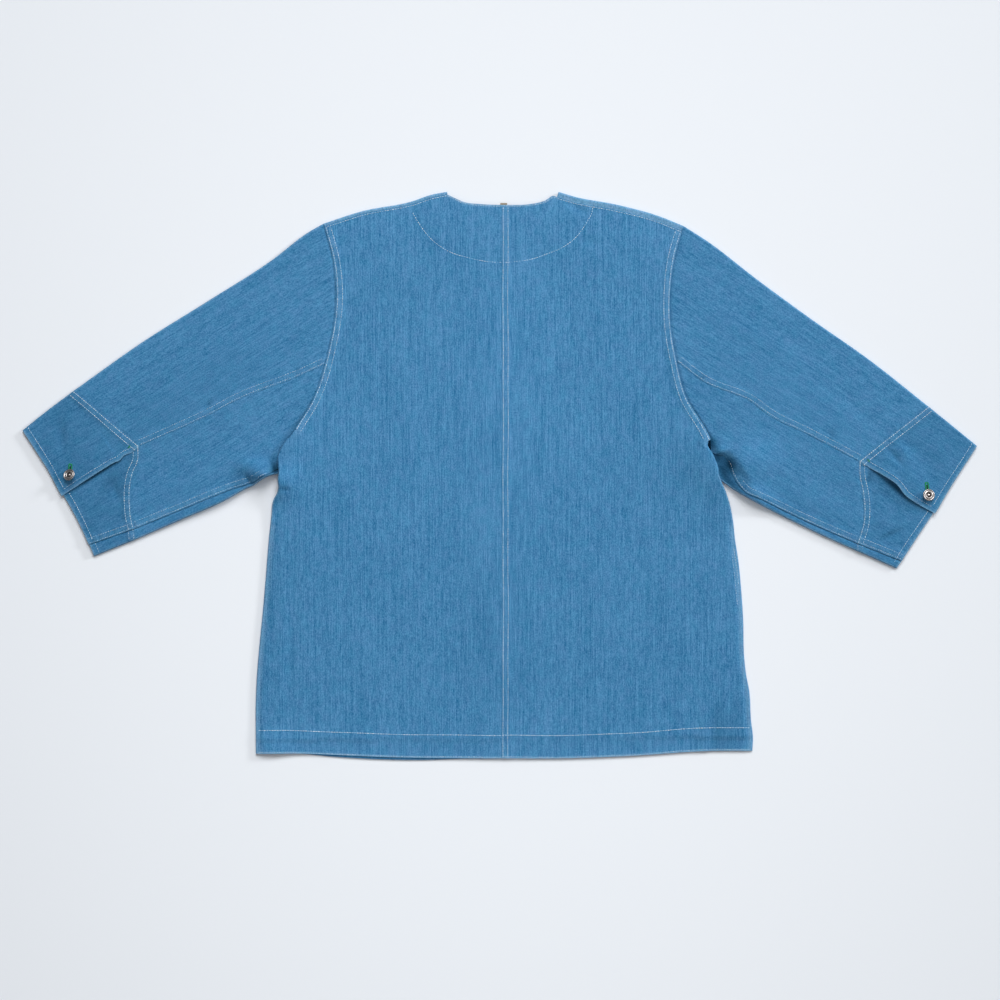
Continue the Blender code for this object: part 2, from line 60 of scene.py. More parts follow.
CENTRE_HEM_Y = -338.8
LAP = 35
LAP_RISE = 1.5
LAP_SLOPE = 15
LAP_MARGIN = 3
FRONT_NECK_Y = 250
FRONT_NECK_SCOOP = [(0.06, 0.45), (0.4, 0.92)]
FRONT_CELL = 6
SHOULDER_STEP = 0.3
CUT_EDGE = np.radians(55)

# Places on the folds of the outline, as the few points that a smooth line passes through
LEFT = {
    "side": [
        (-292.4, -333.2), (-292.4, -268), (-282, -140), (-274, -50), (-271, -28), (-266.5, -20),
        (-264.8, -14), (-265.8, -6), (-265, 2.4),
    ],
    "sleeve_low": [
        (-265, 2.4), (-270, 1.4), (-277.8, -1), (-282.6, -3.4), (-287.4, -6.2), (-295, -11.4),
        (-303, -15), (-328, -29), (-382.4, -52.8), (-436, -76),
    ],
    "cuff_low": [(-436, -76), (-486.2, -96.2)],
    "shoulder": [(-63, 341), (-80, 338), (-107, 329), (-164, 318), (-211, 303)],
    "sleeve_top": [(-211, 303), (-228.5, 293), (-274, 258.4), (-349, 210.5), (-426.5, 162), (-510, 103)],
    "cuff_top": [(-510, 103), (-546, 76), (-572.3, 54.8)],
    "front_hem": [(-240, -333.2), (-200, -336.8), (-98, -340.8), (-40, -339.4)],
    "front_armhole": [(-252, 25), (-215, 62), (-190, 120), (-184, 200), (-194, 262)],
}
RIGHT = {
    "side": [
        (303.4, -329.8), (304.2, -313), (301.8, -293), (300, -260), (295.8, -237), (293.6, -217),
        (292.4, -173), (290, -136), (286.6, -101), (282.4, -74), (280.6, -56), (277.4, -38), (272, -20),
        (266, -6),
    ],
    "sleeve_low": [(266, -6), (280, -16), (304, -30), (347.4, -52.2), (397.8, -76.2), (427.6, -89.4)],
    "cuff_low": [(427.6, -89.4), (476.4, -111)],
    "shoulder": [(71, 341), (91, 335), (139, 326), (191, 312), (221, 300)],
    "sleeve_top": [(221, 300), (248.3, 282.5), (310.5, 234.8), (376, 187), (443, 140), (514, 84)],
    "cuff_top": [(514, 84), (545, 59), (573, 36)],
    "front_hem": [(257, -328.6), (150, -334.6), (75, -336.8)],
    "front_armhole": [(252, 18), (222, 62), (198, 120), (192, 200), (204, 262)],
}
# One half of the jacket: its lines as cut, which way is inward, and what differs between the two halves
Half = namedtuple("Half", "name cut turn wrap seat roll slit vent_rise side_wear lap_rise lines")
HALVES = [
    Half("left", LEFT, 1, 1.4, 5, 56, 1.5, 1.7, 0.6, LAP_RISE, {}),
    Half("right", RIGHT, -1, 4.6, 29, 43, 6.2, 3.6, 0.4, 0, {}),
]

# Creases: a soft ridge or trough along a line through its middle, on every piece whose name has these words
# A crease's shade is painted light and shade: a share by which its colour is darkened where below nought,
# for shadow in folds, hollows, slits and under edges, and lightened where above nought, for light falling
# on it. Some creases have a shade and no rise.
Crease = namedtuple("Crease", "on x y turn half_length half_width rise shade far_width", defaults=(0, None))
CREASES = []


def add_creases(on, *rows):
    """Adds creases to the pieces whose names have these words, each a row of a Crease's other fields."""
    CREASES.extend(Crease(on, *row) for row in rows)


add_creases(
    "front",
    (-150, -120, 70, 90, 18, 0.5),
    (140, -60, 115, 80, 16, 0.5),
    (-120, 130, 40, 60, 14, 0.4),
    (160, 150, 130, 60, 14, 0.4),
)
# Painted shadow on the strip of the left front's hem that shows below the back's hem
add_creases(
    "front_left",
    (-140, -340, 0, 140, 14, 0.3, -0.3),
)


def along(line):
    """Distance from the start of a line to each of its points, as a share of its length."""
    steps = np.linalg.norm(np.diff(line, axis=0), axis=1)
    run = np.concatenate([[0], np.cumsum(steps)])
    return run / run[-1]


def length_of(line):
    """Length of a line."""
    return np.linalg.norm(np.diff(line, axis=0), axis=1).sum()


def unit(vectors):
    """Vectors with the same direction and a length of one."""
    return vectors / np.linalg.norm(vectors, axis=-1, keepdims=True)


def heading(degrees):
    """Direction in plan at an angle from +X."""
    return np.array([np.cos(np.radians(degrees)), np.sin(np.radians(degrees))])


def aside(way):
    """Direction in plan to the left of another."""
    return np.array([-way[1], way[0]])


def smooth(places, points_between=24):
    """Fine points on a smooth curve through a few places."""
    places = np.array(places, float)
    run = along(places)
    slope = np.gradient(places, run, axis=0)
    fine = np.linspace(0, 1, points_between * (len(places) - 1) + 1)
    span = np.clip(np.searchsorted(run, fine, side="right") - 1, 0, len(run) - 2)
    width = (run[span + 1] - run[span])[:, None]
    part = (fine - run[span])[:, None] / width
    return (
        places[span] * (1 + 2 * part) * (1 - part) ** 2
        + slope[span] * width * part * (1 - part) ** 2
        + places[span + 1] * (3 - 2 * part) * part**2
        - slope[span + 1] * width * part**2 * (1 - part)
    )


def spaced(line, shares):
    """Points of a line at the given shares of its length."""
    run = along(line)
    return np.stack([np.interp(shares, run, line[:, axis]) for axis in range(line.shape[1])], axis=1)


def share_of(line, place):
    """Share of a line's length at its point nearest to a place."""
    return along(line)[np.argmin(np.linalg.norm(line - np.array(place, float), axis=1))]


def chain(*lines):
    """Joins lines that start where the one before ends."""
    return np.concatenate([lines[0]] + [line[1:] for line in lines[1:]])


SEWN_STEPS = np.array([0, 0.5, 1.1, 1.9, 2.9, 4.0, 5.2, 6.4, 7.6, 9.0, 11.0])


def stepped(line, cell, sewn=(0, 0)):
    """Points of a line about a cell apart, and closer beside an end that is sewn."""
    length = length_of(line)
    first, last = (SEWN_STEPS if end else SEWN_STEPS[:1] for end in sewn)
    last = length - last[::-1]
    count = max(1, int(np.ceil((last[0] - first[-1]) / cell)))
    run = np.concatenate([first, np.linspace(first[-1], last[0], count + 1)[1:-1], last])
    return spaced(line, run / length)


def outward(line, turn):
    """Direction to one side of a line at each of its points, lengthened at corners."""
    step = unit(np.diff(line, axis=0))
    normal = turn * np.stack([-step[:, 1], step[:, 0]], axis=1)
    before = np.concatenate([normal[:1], normal])
    after = np.concatenate([normal, normal[-1:]])
    mean = unit(before + after)
    return mean / np.sum(mean * after, axis=1)[:, None]


def between(first, last, share):
    """Mean of two values, with a share of the last."""
    return (1 - share) * first + share * last


def fill(first_row, last_row, first_column, last_column):
    """Net of points spread evenly between the four edges of a panel."""
    up = np.stack([along(first_column), along(last_column)], axis=1)
    across = between(along(first_row), along(last_row), up.mean(axis=1)[:, None])
    up = between(up[:, :1], up[:, 1:], across)[..., None]
    across = across[..., None]
    sides = between(first_column[:, None], last_column[:, None], across)
    ends = between(first_row, last_row, up)
    first_ends = between(first_row[0], first_row[-1], across)
    last_ends = between(last_row[0], last_row[-1], across)
    return sides + ends - between(first_ends, last_ends, up)


OUTLINE_STEP = 3
STRETCHES = {
    "low": (("body", "side"), ("sleeve", "sleeve_low"), ("cuff", "cuff_low")),
    "high": (("body", "shoulder"), ("sleeve", "sleeve_top"), ("cuff", "cuff_top")),
}


def outline_of(half):
    """Puts the fold lines of one half into its lines: where the cloth rounds over, and the way out."""
    for end, hand in (("low", half.turn), ("high", -half.turn)):
        parts = [stepped(smooth(half.cut[edge]), OUTLINE_STEP) for _, edge in STRETCHES[end]]
        whole = chain(*parts)
        out = outward(whole, hand)
        folds = np.concatenate([whole - out * FOLD_INSET, out], axis=1)
        start = 0
        for (part, _), points in zip(STRETCHES[end], parts):
            half.lines[f"{part}_{end}"] = folds[start : start + len(points)]
            start += len(points) - 1


def on_fold(fold, shares):
    """Places on a fold line and the way out there, at shares of its length."""
    run = along(fold[:, :2])
    both = np.stack([np.interp(shares, run, fold[:, axis]) for axis in range(4)], axis=1)
    return both[:, :2], both[:, 2:]


SEAM_REACH = 16
FAR = 1e3


def beside(plan, line):
    """Distance of points in plan from a line, and how far along the line the nearest place is."""
    flat = plan.reshape(-1, 2)
    near = ((flat > line.min(axis=0) - SEAM_REACH) & (flat < line.max(axis=0) + SEAM_REACH)).all(axis=1)
    apart = np.full(len(flat), FAR)
    run = np.zeros(len(flat))
    start, step = line[:-1], np.diff(line, axis=0)
    length = np.linalg.norm(step, axis=1)
    begun = np.concatenate([[0], np.cumsum(length)])[:-1]
    points = flat[near]
    part = np.clip(((points[:, None] - start) * step).sum(axis=2) / length**2, 0, 1)
    gap = np.linalg.norm(points[:, None] - start - part[..., None] * step, axis=2)
    best = gap.argmin(axis=1)
    row = np.arange(len(points))
    apart[near] = gap[row, best]
    run[near] = begun[best] + part[row, best] * length[best]
    return apart.reshape(plan.shape[:-1]), run.reshape(plan.shape[:-1])


def fade(value, start, end):
    """Falls smoothly from one to nought between two values."""
    part = np.clip((value - start) / (end - start), 0, 1)
    return 1 - part**2 * (3 - 2 * part)


def bump_at(value, middle, half_width):
    """One at the middle, falling away to both sides."""
    return np.exp(-(((value - middle) / half_width) ** 2))


# Waves in the pull of the sewing along a seam: height, length and start of each
PUCKERS = ((0.5, 1.45, 0), (0.35, 2.63, 1.1), (0.4, 5.9, 0.4))


def pucker(run):
    """Uneven pull of the sewing along a seam, about nought."""
    return sum(height * np.sin(run / length + start) for height, length, start in PUCKERS)


# What each kind of edge does to the cloth beside it: how far it rises, and how worn it is.
# A felled seam has two rows of sewing at these distances from its edge, each in a dent of its own width.
ROWS = (1.5, 7.2)
ROW_DENTS = (0.7, 0.8)
EDGE_DENT = 0.6
DENT_DEPTH = 0.3
FELL_EDGES = (6.5, 12)
FELL_PULL = 0.4
FELL_RUB = (5, 9)
FELL_WEAR = 0.7
FELL_MEAN_WEAR = 0.9
EDGE_RUB = (0.3, 0.8)


def felled(ridge, wear):
    """Edge that is turned under, laid over the next piece and sewn down with two rows."""

    def edge(apart, run):
        pull = pucker(run)
        dents = bump_at(apart, 0, EDGE_DENT) + sum(bump_at(apart, *row) for row in zip(ROWS, ROW_DENTS))
        rise = fade(apart, *FELL_EDGES) * (1 + FELL_PULL * pull) - DENT_DEPTH * dents
        rubbed = FELL_WEAR * fade(apart, *FELL_RUB) * (FELL_MEAN_WEAR + pull)
        return ridge * rise, wear * (bump_at(apart, *EDGE_RUB) + rubbed)

    return edge


TUCK_PULL = 0.2
TUCK_PULLED = (4, 3)


def tucked(depth, width):
    """Edge that goes under the next piece."""

    def edge(apart, run):
        pull = TUCK_PULL * bump_at(apart, *TUCK_PULLED) * pucker(run)
        return -depth * bump_at(apart, 0, width) - pull, 0 * apart

    return edge


HEM_EDGE = 3
HEM_PULL = 0.1
HEM_WEAR = 0.75
HEM_RUB = 2.0


def hemmed(drop, width):
    """Edge of the cloth that is turned, sewn and pressed down onto what lies beneath."""

    def edge(apart, run):
        pull = HEM_PULL * pucker(run) * bump_at(apart, HEM_EDGE, HEM_EDGE)
        return pull - drop * fade(apart, HEM_EDGE, width), HEM_WEAR * bump_at(apart, 0, HEM_RUB)

    return edge


SIDE_DROP = 1.1
SIDE_ROUND = 8
SIDE_PULL = 0.05
SIDE_STRETCH = 3
SIDE_WEAR = 0.45
SIDE_RUB = 6


def side_fold(apart, run):
    """Fold that rounds down to the surface."""
    drop = SIDE_PULL * pucker(run / SIDE_STRETCH) - SIDE_DROP
    return drop * fade(apart, 0, SIDE_ROUND), SIDE_WEAR * fade(apart, 0, SIDE_RUB)


SEAM_DIP = 0.35
SEAM_DIP_WIDTH = 0.9
SEAM_PULL = 0.06
SEAM_PULL_WIDTH = 4


def plain(apart, run):
    """Seam that is sewn flat."""
    pull = SEAM_PULL * pucker(run) * bump_at(apart, 0, SEAM_PULL_WIDTH)
    return pull - SEAM_DIP * bump_at(apart, 0, SEAM_DIP_WIDTH), 0 * apart


DEEPEST = 1.8
SOFTEN = 0.2
EDGES = {
    "felled": felled(0.7, 0.16),
    "pressed": felled(0.35, 0.08),
    "tucked": tucked(1.2, 1.9),
    "eased": tucked(1.0, 1.6),
    "flush": tucked(0.2, 1.4),
    "level": tucked(0.0, 1.4),
    "hem": hemmed(1.8, 34),
    "turned": hemmed(0.4, 20),
    "even": hemmed(0.0, 12),
    "side_fold": side_fold,
    "plain": plain,
}
SEAMS = {}


def set_seams(half, part, *kinds):
    """Says which kind of edge each line of a piece of one half is."""
    SEAMS[f"{part}_{half.name}"] = [(kind, half.lines[line]) for kind, line in kinds]


def lay(name, plan, level):
    """Height of the middle of a piece's cloth at points in plan, its wear, and its tone with the painted
    shade and light of its creases.
    """
    height = np.full(plan.shape[:-1], float(level))
    tone = np.ones(plan.shape[:-1])
    for crease in CREASES:
        if crease.on in name:
            way = heading(crease.turn)
            apart = plan - np.array([crease.x, crease.y])
            length = apart @ way / crease.half_length
            width = apart @ aside(way)
            width = width / np.where(width > 0, crease.half_width, crease.far_width or crease.half_width)
            share = np.exp(-(length**2) - width**2)
            height += crease.rise * share
            # Painted shade and light of the crease, in the tone
            tone *= 1 + crease.shade * share
    worn = np.zeros(plan.shape[:-1])
    for kind, line in SEAMS.get(name, []):
        rise, wear = EDGES[kind](*beside(plan, line))
        height += rise
        worn += wear
    lowest = level - DEEPEST
    return lowest + SOFTEN * np.logaddexp(0, (height - lowest) / SOFTEN), worn, tone


def raised(plan, height):
    """Points in space from points in plan and their heights."""
    height = np.broadcast_to(np.asarray(height, float), plan.shape[:-1])
    return np.concatenate([plan, height[..., None]], axis=-1)


def folded_edge(upper, lower, out, angles):
    """Columns of points round a folded edge, from the upper layer down to the height of the lower one."""
    turned = np.broadcast_to(np.radians(angles), (len(upper), np.shape(angles)[-1]))
    half_rise = (upper[:, 2] - lower)[:, None] / 2
    reach = FOLD_REACH * np.sin(turned) ** np.where(turned > np.pi / 2, FOLD_FULLNESS, 1)
    plan = upper[:, None, :2] + out[:, None] * reach[..., None]
    return raised(plan, upper[:, 2:] - half_rise * (1 - np.cos(turned)))


def add_node(tree, kind, sockets, **settings):
    """Adds a shader node with values or links on its sockets."""
    made = tree.nodes.new(kind)
    for name, value in settings.items():
        setattr(made, name, value)
    for key, value in sockets.items():
        if isinstance(value, bpy.types.NodeSocket):
            tree.links.new(value, made.inputs[key])
        else:
            made.inputs[key].default_value = value
    return made


def new_group(name, inputs, outputs):
    """Starts a shader node group with named inputs and outputs."""
    tree = bpy.data.node_groups.new(name, "ShaderNodeTree")
    for direction, sockets in (("INPUT", inputs), ("OUTPUT", outputs)):
        for socket, kind in sockets.items():
            tree.interface.new_socket(socket, in_out=direction, socket_type=kind)
    return tree, tree.nodes.new("NodeGroupInput"), tree.nodes.new("NodeGroupOutput")


def maths(tree, operation, *values, clamp=False):
    """Result of one sum on values or links."""
    sockets = dict(enumerate(values))
    return add_node(tree, "ShaderNodeMath", sockets, operation=operation, use_clamp=clamp).outputs[0]


def mixed_colour(tree, share, first, second):
    """Colour between two others."""
    return add_node(tree, "ShaderNodeMix", {0: share, 6: first, 7: second}, data_type="RGBA").outputs[2]


def product(tree, first, second):
    """Two vectors or colours, multiplied part by part."""
    return add_node(tree, "ShaderNodeVectorMath", {0: first, 1: second}, operation="MULTIPLY").outputs[0]


def noise_of(tree, vector, cells, detail=1.0):
    """Noise with so many cells to a metre along each axis, as its values about one half."""
    sockets = {"Vector": product(tree, vector, cells), "Scale": 1.0, "Detail": detail}
    return add_node(tree, "ShaderNodeTexNoise", sockets).outputs["Fac"]


def weighted(tree, start, parts):
    """Sum of values about one half, each times a weight, added to a start value."""
    total = start
    for value, weight in parts:
        total = maths(tree, "MULTIPLY_ADD", maths(tree, "SUBTRACT", value, 0.5), weight, total)
    return total


def carried(tree, name, output):
    """What the points of a mesh carry under a name."""
    return add_node(tree, "ShaderNodeAttribute", {}, attribute_name=name).outputs[output]


def new_material(name, finish):
    """Starts a material, with values on sockets of its shader."""
    material = bpy.data.materials.new(name)
    material.use_nodes = True
    shader = material.node_tree.nodes["Principled BSDF"]
    for socket, value in finish.items():
        shader.inputs[socket].default_value = value
    return material, material.node_tree, shader


def add_bump(tree, shader, height, strength, distance):
    """Bumps a surface by heights."""
    sockets = {"Height": height, "Strength": strength, "Distance": distance}
    bump = add_node(tree, "ShaderNodeBump", sockets)
    tree.links.new(bump.outputs["Normal"], shader.inputs["Normal"])


# Washed denim: indigo warp with slubs along the grain, pale where it is worn and where light is painted on
# fold edges, and a fine twill
WARP_DARK = (0.0166, 0.1256, 0.2745, 1)
WARP_LIGHT = (0.0968, 0.2844, 0.5115, 1)
WORN_AND_LIT = (0.30, 0.50, 0.68, 1)
HUE_TEAL = (0.83, 1.035, 1.0, 1)
HUE_VIOLET = (1.17, 0.965, 1.0, 1)
# Powers of the tone on red, green and blue, so that painted shade comes out a deeper blue
SHADE_DEEPEN = (1.4, 1.0, 0.92)
TWILL = (6160, 3520, 0)
denim_group, cloth_in, cloth_out = new_group(
    "denim_cloth",
    {
        "Grain": "NodeSocketVector", "Worn": "NodeSocketFloat", "Tone": "NodeSocketFloat",
        "Slubs": "NodeSocketFloat", "Speckle": "NodeSocketFloat",
    },
    {"Color": "NodeSocketColor", "Height": "NodeSocketFloat", "Roughness": "NodeSocketFloat"},
)
grain = cloth_in.outputs["Grain"]
slub = noise_of(denim_group, grain, (820, 60, 300))
long_slub = noise_of(denim_group, grain, (700, 9, 200))
speckle = noise_of(denim_group, grain, (900, 560, 400))
patch = noise_of(denim_group, grain, (260, 120, 100))
mottle = noise_of(denim_group, grain, (22, 15, 20), 2.0)
hue = noise_of(denim_group, grain, (110, 80, 60))
streaks = weighted(denim_group, 0.0, [(slub, 0.9), (long_slub, 0.8)])
grains = weighted(denim_group, 0.0, [(speckle, 1.4), (patch, 0.4)])
fleck = weighted(denim_group, 0.5, [(mottle, 0.25)])
for value, weight in ((streaks, "Slubs"), (grains, "Speckle")):
    fleck = maths(denim_group, "MULTIPLY_ADD", value, cloth_in.outputs[weight], fleck)
dyed = mixed_colour(denim_group, fleck, WARP_DARK, WARP_LIGHT)
rubbed = maths(denim_group, "MULTIPLY", cloth_in.outputs["Worn"], speckle, clamp=True)
faded = mixed_colour(denim_group, rubbed, dyed, WORN_AND_LIT)
hued = product(denim_group, faded, mixed_colour(denim_group, hue, HUE_TEAL, HUE_VIOLET))
# The tone, with its painted shade and light, multiplies the colour
shade_powers = [maths(denim_group, "POWER", cloth_in.outputs["Tone"], power) for power in SHADE_DEEPEN]
depth = add_node(denim_group, "ShaderNodeCombineXYZ", dict(enumerate(shade_powers))).outputs[0]
denim_group.links.new(product(denim_group, hued, depth), cloth_out.inputs["Color"])
diagonal = add_node(denim_group, "ShaderNodeVectorMath", {0: grain, 1: TWILL}, operation="DOT_PRODUCT")
rib = maths(denim_group, "SINE", diagonal.outputs["Value"])
relief = weighted(denim_group, 0.0, [(rib, 0.14), (slub, 0.5), (speckle, 0.6)])
denim_group.links.new(relief, cloth_out.inputs["Height"])
matt = add_node(denim_group, "ShaderNodeMapRange", {"Value": speckle, "To Min": 0.98, "To Max": 0.8})
denim_group.links.new(matt.outputs[0], cloth_out.inputs["Roughness"])


def denim_material(name, slubs, speckle):
    """Denim on the grain, with its wear and painted edge light, and its tone with painted shade and light,
    that each mesh carries.
    """
    finish = {"Specular IOR Level": 0.05, "Sheen Weight": 0.02, "Sheen Roughness": 0.6}
    material, tree, shader = new_material(name, finish)
    sockets = {
        "Grain": carried(tree, "grain", "Vector"), "Worn": carried(tree, "worn", "Fac"),
        "Tone": carried(tree, "tone", "Fac"), "Slubs": slubs, "Speckle": speckle,
    }
    cloth = add_node(tree, "ShaderNodeGroup", sockets, node_tree=denim_group)
    tree.links.new(cloth.outputs["Color"], shader.inputs["Base Color"])
    tree.links.new(cloth.outputs["Roughness"], shader.inputs["Roughness"])
    add_bump(tree, shader, cloth.outputs["Height"], strength=0.5, distance=0.0003)
    return material


BODY_DENIM = denim_material("denim_body", 1.0, 1.0)
PIECES_APART = 1000


def grain_of(net, axis, seed):
    """Place of each point of a net across its grain, along it and up, apart from every other piece."""
    axis = unit(np.array(axis, float))
    across = net[..., 0] * axis[1] - net[..., 1] * axis[0]
    up = net[..., 0] * axis[0] + net[..., 1] * axis[1]
    return np.stack([across + seed * PIECES_APART, up, net[..., 2]], axis=-1) * MM


def new_mesh(name, points, faces, material):
    """Mesh with one material, from points in millimetres."""
    mesh = bpy.data.meshes.new(name)
    mesh.from_pydata((points.reshape(-1, 3) * MM).tolist(), [], faces.tolist())
    mesh.materials.append(material)
    return mesh


def carry(mesh, name, values):
    """Gives each point of a mesh a value or a vector under a name."""
    kind, field = ("FLOAT_VECTOR", "vector") if values.ndim > 1 else ("FLOAT", "value")
    mesh.attributes.new(name, kind, "POINT").data.foreach_set(field, values.ravel())


def add_object(name, data):
    """Puts a mesh, light or camera into the scene."""
    made = bpy.data.objects.new(name, data)
    bpy.context.scene.collection.objects.link(made)
    return made


def cloth_piece(name, net, worn, tone, material, axis, seed):
    """Thin wall of denim on a net of points, in place of the solid with the same name."""
    there = ~np.isnan(net[..., 0])
    number = np.full(net.shape[:2], -1)
    number[there] = np.arange(there.sum())
    quads = np.stack([number[:-1, :-1], number[:-1, 1:], number[1:, 1:], number[1:, :-1]], axis=-1)
    quads = quads.reshape(-1, 4)
    quads = quads[(quads >= 0).all(axis=1)]
    sheet = new_mesh(f"{name}_sheet", net[there], quads, material)
    sheet.shade_smooth()
    carry(sheet, "grain", grain_of(net, axis, seed)[there])
    carry(sheet, "worn", worn[there])
    carry(sheet, "tone", tone[there])
    piece = add_object(f"{name}_cloth", sheet)
    wall = piece.modifiers.new("Wall", "SOLIDIFY")
    wall.thickness = CLOTH * MM
    wall.offset = 0
    walled = bpy.data.meshes.new_from_object(piece.evaluated_get(bpy.context.evaluated_depsgraph_get()))
    piece.modifiers.clear()
    piece.data = walled
    bpy.data.meshes.remove(sheet)
    walled.name = f"{name}_cloth"
    walled.set_sharp_from_angle(angle=CUT_EDGE)
    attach(piece, "root")
    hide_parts(name)
    return piece


SHOULDER_CELLS = 30
SHOULDER_WEAR = 0.6
LAP_CELLS = (4, 8)
NECK_CELLS = 18
WRAP_SHARES = (0.25, 0.6, 1.0)


def front_net(half):
    """Net of a front: flat panel, lap, turned-up side and the part that wraps over the shoulder."""
    lines, name = half.lines, f"front_{half.name}"
    side = stepped(lines["body_low"][:, :2], FRONT_CELL)
    underarm, point = lines["sleeve_low"][0, :2], lines["sleeve_high"][0, :2]
    armhole = stepped(smooth([underarm, *half.cut["front_armhole"], point]), FRONT_CELL)
    outer = chain(side, armhole)
    shoulder, shoulder_out = on_fold(lines["body_high"][::-1], np.linspace(0, 1, SHOULDER_CELLS + 1))
    edge = CENTRE_BACK + half.turn * LAP / 2
    clear = CENTRE_BACK - half.turn * (LAP / 2 + LAP_MARGIN)
    slope = np.linspace(clear - half.turn * LAP_SLOPE, clear, LAP_CELLS[0] + 1)
    across = np.concatenate([slope, np.linspace(clear, edge, LAP_CELLS[1] + 1)[1:]])
    hem = smooth([outer[0], *half.cut["front_hem"], (edge, CENTRE_HEM_Y)])
    low_neck = np.array([edge, FRONT_NECK_Y])
    scoop = shoulder[-1] + (low_neck - shoulder[-1]) * np.array(FRONT_NECK_SCOOP)
    neck = smooth([shoulder[-1], *scoop, low_neck])
    hem_ends, neck_ends = [
        np.stack([across, np.interp(half.turn * across, half.turn * line[:, 0], line[:, 1])], axis=1)
        for line in (hem, neck)
    ]
    side_neck = spaced(neck, np.linspace(share_of(neck, neck_ends[0]), 0, NECK_CELLS + 1))
    lap_start = spaced(np.array([hem_ends[0], side_neck[0]]), np.linspace(0, 1, len(outer) - NECK_CELLS))
    side_hem = spaced(hem, along(shoulder) * share_of(hem, hem_ends[0]))
    panel = fill(side_hem, shoulder, outer, chain(lap_start, side_neck))
    neck_ends[0] = side_neck[0]
    lap_edge = spaced(np.array([hem_ends[-1], neck_ends[-1]]), np.linspace(0, 1, len(lap_start)))
    lap = fill(hem_ends, neck_ends, lap_start, lap_edge)[:, 1:]
    lines.update({"front_hem": hem, "front_neck": neck, "front_edge": lap_edge, "front_armhole": armhole})

    folds, wraps, laps = len(SIDE_FOLD), len(WRAP_SHARES), lap.shape[1]
    rows, columns = panel.shape[:2]
    net = np.full((rows + len(WHOLE_FOLD) + wraps, folds + columns + laps, 3), np.nan)
    worn = np.zeros(net.shape[:2])
    tone = np.ones(net.shape[:2])
    set_seams(half, "front", ("level", "front_hem"), ("even", "front_neck"), ("even", "front_edge"))
    middle = slice(folds, folds + columns)
    face, overlap = (slice(rows), middle), (slice(len(lap)), slice(folds + columns, None))
    height, worn[face], tone[face] = lay(name, panel, FRONT_LEVEL)
    net[face] = raised(panel, height)
    height, worn[overlap], tone[overlap] = lay(name, lap, FRONT_LEVEL)
    lapped = fade(half.turn * (clear - lap[..., 0]), 0, LAP_SLOPE)
    net[overlap] = raised(lap, height + half.lap_rise * lapped)
    low, low_out = on_fold(lines["body_low"], along(side))
    low_top = raised(low, lay(f"back_{half.name}", low, BACK_LEVEL)[0])
    turned_up = folded_edge(low_top, net[: len(side), folds, 2], low_out, 180 - SIDE_FOLD)
    net[: len(side), :folds] = turned_up[:, ::-1]
    high_top = raised(shoulder, lay(f"back_{half.name}", shoulder, BACK_LEVEL)[0])
    over = folded_edge(high_top, net[rows - 1, middle, 2], shoulder_out, 180 - WHOLE_FOLD)
    net[rows:-wraps, middle] = over.transpose(1, 0, 2)
    worn[rows:, middle] = SHOULDER_WEAR
    for number, share in enumerate(WRAP_SHARES, -wraps):
        seam = shoulder - shoulder_out * half.wrap * share
        net[number, middle] = raised(seam, high_top[:, 2] - SHOULDER_STEP * share)
    lines["shoulder_seam"] = (shoulder - shoulder_out * half.wrap)[::-1]
    return net, worn, tone


UPRIGHT = (0, 1)
for half in HALVES:
    outline_of(half)
for seed, half in enumerate(HALVES):
    net, worn, tone = front_net(half)
    piece = cloth_piece(f"front_{half.name}", net, worn, tone, BODY_DENIM, UPRIGHT, seed)


# Backs
# Two panels of the same denim that lie on the fronts, joined by a felled seam down the centre back.
# Hem and neck are turned and stitched, and each side folds down to meet the front.
BACK_CELL = 2.8
FOLD_TOP = -60
CENTRE_NECK_Y = 325
SEAM_POINTS = 120
# The low end of each armhole edge isn't felled: it rolls under by these angles, and stands open at a slit
ROLL_START = 8
ROLL_TURN = 90
ROLL_ON = 80
ROLL_FIRST = 0.12
SLIT_DROP = 5
SLIT_REACH = 8
SLIT_EASE = 13
SLIT_COLUMNS = 11
LEFT.update({
    "neck": [(-55, 334), (-44, 329), (-22, 326)],
    "back_hem": [(-240, -333), (-200, -334.6), (-140, -337.2), (-80, -338.4)],
    "armhole": [(-264, 20), (-245, 55), (-223, 92), (-207, 141), (-196, 205), (-199, 258)],
    "back_seam": [(-208, 134), (-245, 118), (-317, 90), (-347, 74), (-432, 36)],
    "facing": [(-105, 317), (-99, 306), (-80, 282), (-60, 269), (-38, 262), (-9.5, 256.4)],
})
RIGHT.update({
    "neck": [(66, 336), (54, 330), (36, 326)],
    "back_hem": [(257, -329.8), (150, -336.2), (75, -338.8)],
    "armhole": [
        (260.2, 9), (256.6, 19), (254, 28), (253.6, 36), (252.8, 44), (250.4, 49), (246.4, 57), (241, 66),
        (225, 92), (212, 139), (204, 200), (210, 262),
    ],
    "back_seam": [(212, 138), (244, 114), (302, 89), (323, 73), (366, 52), (431, 18)],
    "facing": [(112, 323), (110.5, 316), (104, 304), (92, 287), (77, 275), (59, 267), (40, 260.5)],
})
CENTRE_FACING = (7, 256)
